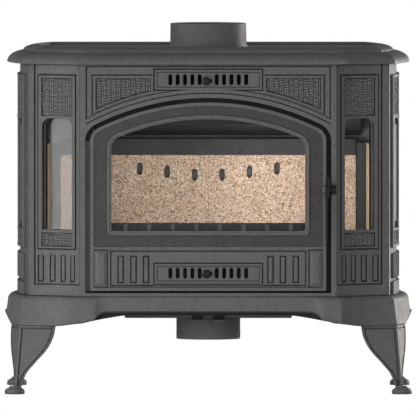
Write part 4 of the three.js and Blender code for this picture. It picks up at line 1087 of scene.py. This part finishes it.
def corner_panel(side, mirror, seed):
    low, high = PLATE_Z
    post_u, post_inner = cant_u(339.6), cant_u(337.4)
    frame_u = (cant_u(259.2), cant_u(331.0))
    field_u = (cant_u(264.5), cant_u(324.7))
    flutes = [CHORD / 2 + k * FLUTE_PITCH for k in (-1.5, -0.5, 0.5, 1.5)]
    solid = Solid()
    solid.plate([rect(0, CHORD, low, high), window(0)], -8, FLOOR, 0.2)
    grooves = [rect(u - 6.25, u + 6.25, 218, 270.6, 0.8) for u in flutes]
    inner = rect(frame_u[0] - GROOVE, frame_u[1] + GROOVE, FRAME_Z[0] - GROOVE,
                 FRAME_Z[1] + GROOVE)
    solid.plate([rect(3.8, post_inner, 214.8, high), inner, *grooves], SEAT, -1.2, 0.7)
    solid.plate([rect(0, 2.2, low, high)], SEAT, 0, 0.8)
    solid.plate([rect(2, post_u + 1, low, 212.8)], SEAT, 0, 0.8)
    solid.plate([rect(post_u, CHORD, low, high)], SEAT, 0, 0.9)
    for u in flutes:
        flute(solid, u, FLOOR - 0.1, -0.6, 221.3, 270.2)
    fields = [rect(*field_u, 541.8, 615.4), rect(*field_u, 287.5, 314.2)]
    solid.plate([rect(*frame_u, *FRAME_Z, 1.0), *fields, window(0)], SEAT, 0.9, 1.0)
    parts = [bent(solid, cant_place, 5.0)]
    for extra, (v0, v1) in enumerate(CANT_WEAVES):
        field = Solid()
        field.grid(field_u[0] + 1.4, field_u[1] - 1.4, v0, v1, 0.9, weave(seed + extra), None, -3.4, 2)
        parts.append(bent(field, cant_place))
    seat = Solid()
    seat.plate([window(10), window(0)], -21, -15, 0.5)
    parts.append(bent(seat, chord_place))
    casting = build(f"corner_panel_{side}_casting", f"corner_panel_{side}", *parts, mirror=mirror)
    # Painted highlight: the raised bars of the woven fields get a lighter iron standing in for raking light.
    refinish(casting, "painted_highlight_iron", cant_weave_top)


def cant_weave_top(x, depth, z):
    """The raised bars of the woven fields on the canted panels."""
    out = CANT_RADIUS - math.hypot(abs(x) - CANT_C[0], depth - CANT_C[1])
    return 266 < abs(x) < 323 and any(v0 < z < v1 for v0, v1 in CANT_WEAVES) and -1.8 < out < -0.1


corner_panel("right", False, 21)
corner_panel("left", True, 31)


# --- side and back panels

def side_u(depth):
    """The arc coordinate of the side surface at a depth."""
    return (math.asin((depth - SIDE_C[1]) / SIDE_R) + SIDE_HALF_ANGLE) * SIDE_R


def side_panel(side, mirror, seed):
    """Three bordered bays, each a woven field, a pane-like field, a narrow woven field and flutes."""
    low, high = PLATE_Z
    start, end = side_u(CORNER[1] + 8.3), SIDE_LENGTH - GAP
    solid = Solid()
    solid.plate([rect(start, end, low, high)], -8, 0, 0.8)
    solid.plate([rect(side_u(97), side_u(405), low, 217, 0.8)], -2, SIDE_RELIEF, 1.2)
    parts = []
    for k in (-1, 0, 1):
        middle = side_u(SIDE_C[1] + k * 113)
        u0, u1 = middle - 46, middle + 46
        f0, f1 = u0 + 7, u1 - 7
        pane = rect(f0 + 1, f1 - 1, 321, 535, 17, 10, (0, 0, 1, 1))
        solid.plate([rect(u0, u1, *FRAME_Z, 1.0), rect(f0, f1, 541.8, 614), pane,
                     rect(f0, f1, 290, 315)], -2, SIDE_RELIEF, 1.2)
        solid.plate([offset(pane, 12)], -2, SIDE_RELIEF - 2.5, 1.2)
        for j in (-1.5, -0.5, 0.5, 1.5):
            flute(solid, middle + j * 22.4, -1, SIDE_RELIEF, 223, 272)
        for v0, v1, extra in ((540.8, 615, 0), (289, 316, 1)):
            field = Solid()
            field.grid(f0 - 1, f1 + 1, v0, v1, 1.1, weave(seed + 10 * k + extra), None, 1.8, 2.5)
            parts.append(bent(field, side_place))
    build(f"side_panel_{side}_casting", f"side_panel_{side}", bent(solid, side_place, 12.0), *parts,
          mirror=mirror)


side_panel("right", False, 60)
side_panel("left", True, 90)


SCREW_HEAD = [(0, 0), (5.2, 0), (5.2, 1.6), (4.4, 2.6), (2.4, 3.2), (0, 3.4)]


def back_place(verts):
    """Panel space on the back, seen from behind."""
    return np.column_stack([-verts[:, 0], BACK_DEPTH + verts[:, 2], verts[:, 1]])


def back_panel():
    """A guess, as the photo doesn't show it: a border, three ribs and six screw heads."""
    low, high = PLATE_Z
    half = node_box("back_panel")[1][0]
    solid = Solid()
    solid.plate([rect(-half, half, low, high)], -8, 0, 0.8)
    solid.plate([rect(-half + 14, half - 14, low + 14, high - 14, 8),
                 rect(-half + 26, half - 26, low + 26, high - 26, 6)], -1, 3, 1.4)
    for x in (-170, 0, 170):
        solid.plate([rect(x - 7, x + 7, low + 40, high - 40, 6.9)], -1, 3, 2.0)
    parts = [bent(solid, back_place)]
    for x in (-half + 7, 0, half - 7):
        for z in (low + 7, high - 7):
            parts.append(turned(SCREW_HEAD, (x, BACK_DEPTH - 0.1, z), "y", 24))
    build("back_panel_casting", "back_panel", *parts)


back_panel()


# --- door

def door_frame():
    """The door casting: a rim all round, a dark sunk face, a bead round the glass and a low panel."""
    solid = Solid()
    lower = [*vent_slots(LOWER_VENT["slots"]), stem_slot(LOWER_VENT["knob"])]
    door = arched(corner=2.5, **DOOR)
    sight = arched(corner=5, **SIGHT)
    solid.plate([door, sight, *lower], -10, FLOOR, 0.3)
    face = dict(inset(DOOR, 7.2), bottom=288.5)
    solid.plate([door, arched(corner=2, **face), rect(-222.5, 222.5, 209, 283)], SEAT, 0, 1.1)
    for side in (1, -1):
        x0, x1 = sorted((side * 197, side * 221.8))
        solid.plate([rect(x0, x1, 211, 281)], SEAT, -1.6, 0.3)
        solid.plate([rect(x0 + 0.6, x1 - 0.6, 211.6, 280.4)], -1.8, 2.4, 0.4, 2, 5.6)
    bars = [side * x for x in (121, 145.3, 170.3) for side in (1, -1)]
    holes = [rect(x - 6.4, x + 6.4, 217.3, 271, 0.8) for x in bars]
    solid.plate([rect(-195, 195, 209.6, 283.4), rect(-190.5, 190.5, 211.8, 281)], SEAT, 0, 0.9)
    vent_gap = rect(-VENT_HALF - GROOVE, VENT_HALF + GROOVE, LOWER_VENT["bottom"] - GROOVE,
                    LOWER_VENT["top"] + GROOVE)
    solid.plate([rect(-188.4, 188.4, 214, 278.8), *holes, vent_gap], SEAT, -1.1, 0.6)
    for x in bars:
        flute(solid, x, FLOOR - 0.1, 0.2, 219.8, 269)
    vent_boss(solid, LOWER_VENT)
    casting = build("door_frame_casting", "door_frame", bent(solid), finish="cast_iron")
    # Painted shade: the door's edges and back, more than 5.5 mm behind its face, get the near-black iron.
    refinish(casting, "painted_shade_iron", lambda x, depth, z: depth > 5.5)
    rim = dict(inset(DOOR, 4), bottom=285)
    dark = Solid().plate([arched(corner=2, **rim), sight], SEAT, -2, 0.5)
    build("door_face", "door_frame", bent(dark))
    bead = Solid()
    bead.plate([arched(corner=8, **BEAD), arched(corner=6, **inset(BEAD, 5.5))], -2.4, 1.4, 1.5, 4)
    bead.plate([arched(corner=7, **inset(BEAD, 4)), sight], -2.6, -0.6, 0.8)
    build("door_vision_bead", "door_frame", bent(bead), finish="cast_iron")


door_frame()


def knob(node):
    """A small turned knob on its stem."""
    low, high = node_box(node)
    middle = ((low[0] + high[0]) / 2, 0, (low[2] + high[2]) / 2)
    r = (high[0] - low[0]) / 2
    stem = [(3.4, 12.2), (3, 12.8), (3, high[1] - low[1]), (0, high[1] - low[1])]
    head = [(0, 0), (r - 3.2, 0.1), (r - 1.6, 0.6), (r - 0.5, 1.7), (r, 3.2), (r, 7.4), (r - 0.5, 8.6),
            (r - 1.6, 10.2), (r - 3.2, 11.4)]
    profile = [(radius, low[1] + back) for radius, back in head + stem]
    build(node + "_turned", node, turned(profile, middle, "y", 48))


knob("upper_air_knob")
knob("lower_air_knob")


def catch():
    """A roller on the right post, on a small foot."""
    low, high = node_box("door_catch")
    z = (low[2] + high[2]) / 2
    r = (high[2] - low[2]) / 2
    edge = [(0, 0), (r - 1.4, 0), (r - 0.4, 0.5), (r, 1.4)]
    roller = [(radius, low[0] + along) for radius, along in edge]
    roller += [(radius, high[0] - along) for radius, along in reversed(edge)]
    foot = Solid().plate([rect(low[0] + 1, high[0], z - 5, z + 5, 1.2)], -high[1], 9, 0.8)
    axle = (0, low[1] + r, z)
    build("door_catch_roller", "door_catch", turned(roller, axle, "x", 48), bent(foot))


catch()


def spigot():
    """The round air inlet: a tube with a bead round it and a flange at its top."""
    low, high = node_box("air_inlet_spigot")
    r, bore = 62.5, 60.0
    bottom, flange = low[2], high[2] - 2.5
    profile = [(bore, bottom + 0.6), (bore + 0.6, bottom), (r - 0.6, bottom), (r, bottom + 0.6),
               (r, bottom + 9), (r + 0.8, bottom + 11), (r, bottom + 13),
               (r, flange - 1), (r + 1, flange), (74.5, flange), (75, flange + 0.6), (75, high[2]),
               (bore, high[2])]
    centre = (0, (low[1] + high[1]) / 2, 0)
    build("air_inlet_spigot_turned", "air_inlet_spigot", turned(profile, centre, segments=96, closed=True))


spigot()


# --- CAD shapes with rounded edges

ROUNDED = {
    "door_handle": 1.3, "handle_boss": 0.8, "door_seal": 3.2, "door_glass_gasket": 0.8,
    "door_glass_retainer": 0.4, "air_deflector": 0.7, "log_guard": 0.6, "back_retainer": 0.6,
    "back_brick_right": 1.6, "back_brick_left": 1.6, "side_brick_right": 1.6, "side_brick_left": 1.6,
    "brick_corner_post_right": 0.5, "brick_corner_post_left": 0.5, "hearth_plate": 0.8, "grate": 1.4,
    "baffle_plate": 1.0, "ash_compartment": 0.4, "ash_pan": 0.4, "air_box": 2.0,
    "air_box_strap_left": 0.5, "air_box_strap_right": 0.5, "retainer_screw_left": 0.3,
    "retainer_screw_right": 0.3, "spigot_screw_left": 0.3, "spigot_screw_right": 0.3,
}
# The deflector and log guard get a lighter copy of the plate steel, painted light near the glass; the baffle
# gets the near-black iron, painted shade at the firebox top.
OTHER_FINISH = {"air_deflector": "painted_lit_plate", "log_guard": "painted_lit_plate", "baffle_plate": "painted_shade_iron"}
DROP = {"air_box": 2.6, "spigot_screw_left": 2.6, "spigot_screw_right": 2.6,
        "air_box_strap_left": 5.8, "air_box_strap_right": 5.8}
LOWERED_BELOW = 150
STRAP_LIP_TOP, FIN_DEPTH = 141, 33.5

for node, width in ROUNDED.items():
    copy = rounded_copy(node, width, OTHER_FINISH.get(node))
    if node in DROP:
        lowered(copy, LOWERED_BELOW, DROP[node])
    if node.startswith("air_box_strap"):
        # Painted light: the strap lips below STRAP_LIP_TOP get a lighter copy of the plate steel.
        refinish(copy, "painted_lit_fin_plate", lambda x, depth, z: z < STRAP_LIP_TOP)
    if node == "log_guard":
        # Painted light: the log guard's front tabs get a lighter copy of the plate steel.
        refinish(copy, "painted_lit_fin_plate", lambda x, depth, z: depth < FIN_DEPTH)

for name, obj in frame["nodes"].items():
    if not obj.hide_render:
        paint(obj, SLOT_OF[name])


# --- camera, light and floor

def aimed(obj, target):
    obj.rotation_mode = "QUATERNION"
    obj.rotation_quaternion = (Vector(target) - obj.location).to_track_quat("-Z", "Y")


def camera():
    """A long lens a little above the middle, as for a catalogue photograph."""
    data = bpy.data.cameras.new("camera")
    data.sensor_width = 36.0
    data.lens = 1500.0
    data.clip_start = 1.0
    data.clip_end = 80.0
    obj = placed("camera", data)
    target = Vector((-0.6, FRONT, 364)) / 1000
    rise, distance = math.radians(2.05), 33.7
    obj.location = target + Vector((0, -math.cos(rise), math.sin(rise))) * distance
    aimed(obj, target)
    bpy.context.scene.camera = obj


MIDDLE = (0, 0, 0.4)
# name: place and aim in metres, size, watts, colour, what it doesn't light
LIGHTS = {
    "key": ((-2.4, -1.15, 0.5), MIDDLE, (3.0, 2.4), 31, (1, 1, 1), None),
    "sheen": ((-1.4, -0.64, 0.387), (-0.3, -0.16, 0.43), (0.13, 0.3), 0.52, (1, 1, 1), "diffuse"),
    "rim": ((2.4, 2.0, 0.5), MIDDLE, (1.2, 2.0), 75, (1.0, 0.96, 0.92), None),
    "low": ((-0.6, -1.1, 0.04), (-0.05, -0.2, 0.3), (1.4, 0.4), 4, (1, 1, 1), "glossy"),
    "front": ((0.2, -5.0, 0.9), MIDDLE, (3.0, 1.6), 67, (1, 1, 1), "glossy"),
    "inside": ((0.05, -0.12, 0.41), (0.02, 0.3, 0.385), (0.5, 0.12), 1.4, (1, 1, 1), "glossy"),
    "inside right": ((0.1, -0.02, 0.42), (0.33, 0.13, 0.4), (0.2, 0.12), 0.4, (1, 1, 1), "glossy"),
}


def soft_light(name, location, target, size, watts, colour, left_out):
    data = bpy.data.lights.new(name, "AREA")
    data.shape = "RECTANGLE"
    data.size, data.size_y = size
    data.energy = watts
    data.color = colour
    obj = placed(name, data)
    obj.location = location
    obj.visible_camera = False
    obj.visible_diffuse = left_out != "diffuse"
    obj.visible_glossy = left_out != "glossy"
    aimed(obj, target)


def sky():
    """Pale at eye level and darker overhead for lighting, and white where the camera sees it."""
    world = bpy.data.worlds.new("studio")
    world.use_nodes = True
    tree = world.node_tree
    split = make(tree, "SeparateXYZ", {"Vector": make(tree, "TexCoord", {}).outputs["Generated"]})
    shade = ramp(tree, split.outputs["Z"], [(0.0, grey(0.42)), (0.1, grey(0.36)), (0.35, grey(0.17)),
                                            (1.0, grey(0.13))])
    seen = make(tree, "LightPath", {}).outputs["Is Camera Ray"]
    feed(tree.nodes["Background"], {"Color": mixed(tree, seen, shade, grey(1.0)), "Strength": 1.0})
    bpy.context.scene.world = world


def floor():
    """A wide pale floor that the camera sees as plain white."""
    half = 30.0
    data = bpy.data.meshes.new("floor")
    data.from_pydata([(-half, -half, 0), (half, -half, 0), (half, half, 0), (-half, half, 0)], [],
                     [(0, 1, 2, 3)])
    obj = placed("floor", data)
    material, tree, shader = new_material("floor_white")
    tree.nodes.remove(shader)
    matt = make(tree, "BsdfDiffuse", {"Color": (0.45, 0.45, 0.45, 1)})
    glow = make(tree, "Emission", {"Color": (1, 1, 1, 1)})
    pick = tree.nodes.new("ShaderNodeMixShader")
    for socket, source in zip(pick.inputs, (make(tree, "LightPath", {}), matt, glow)):
        tree.links.new(source.outputs[0], socket)
    feed(tree.nodes["Material Output"], {"Surface": pick.outputs[0]})
    data.materials.append(material)


camera()
sky()
for name, settings in LIGHTS.items():
    soft_light(name, *settings)
floor()
bpy.context.scene.view_settings.view_transform = "Standard"
bpy.context.scene.view_settings.look = "None"
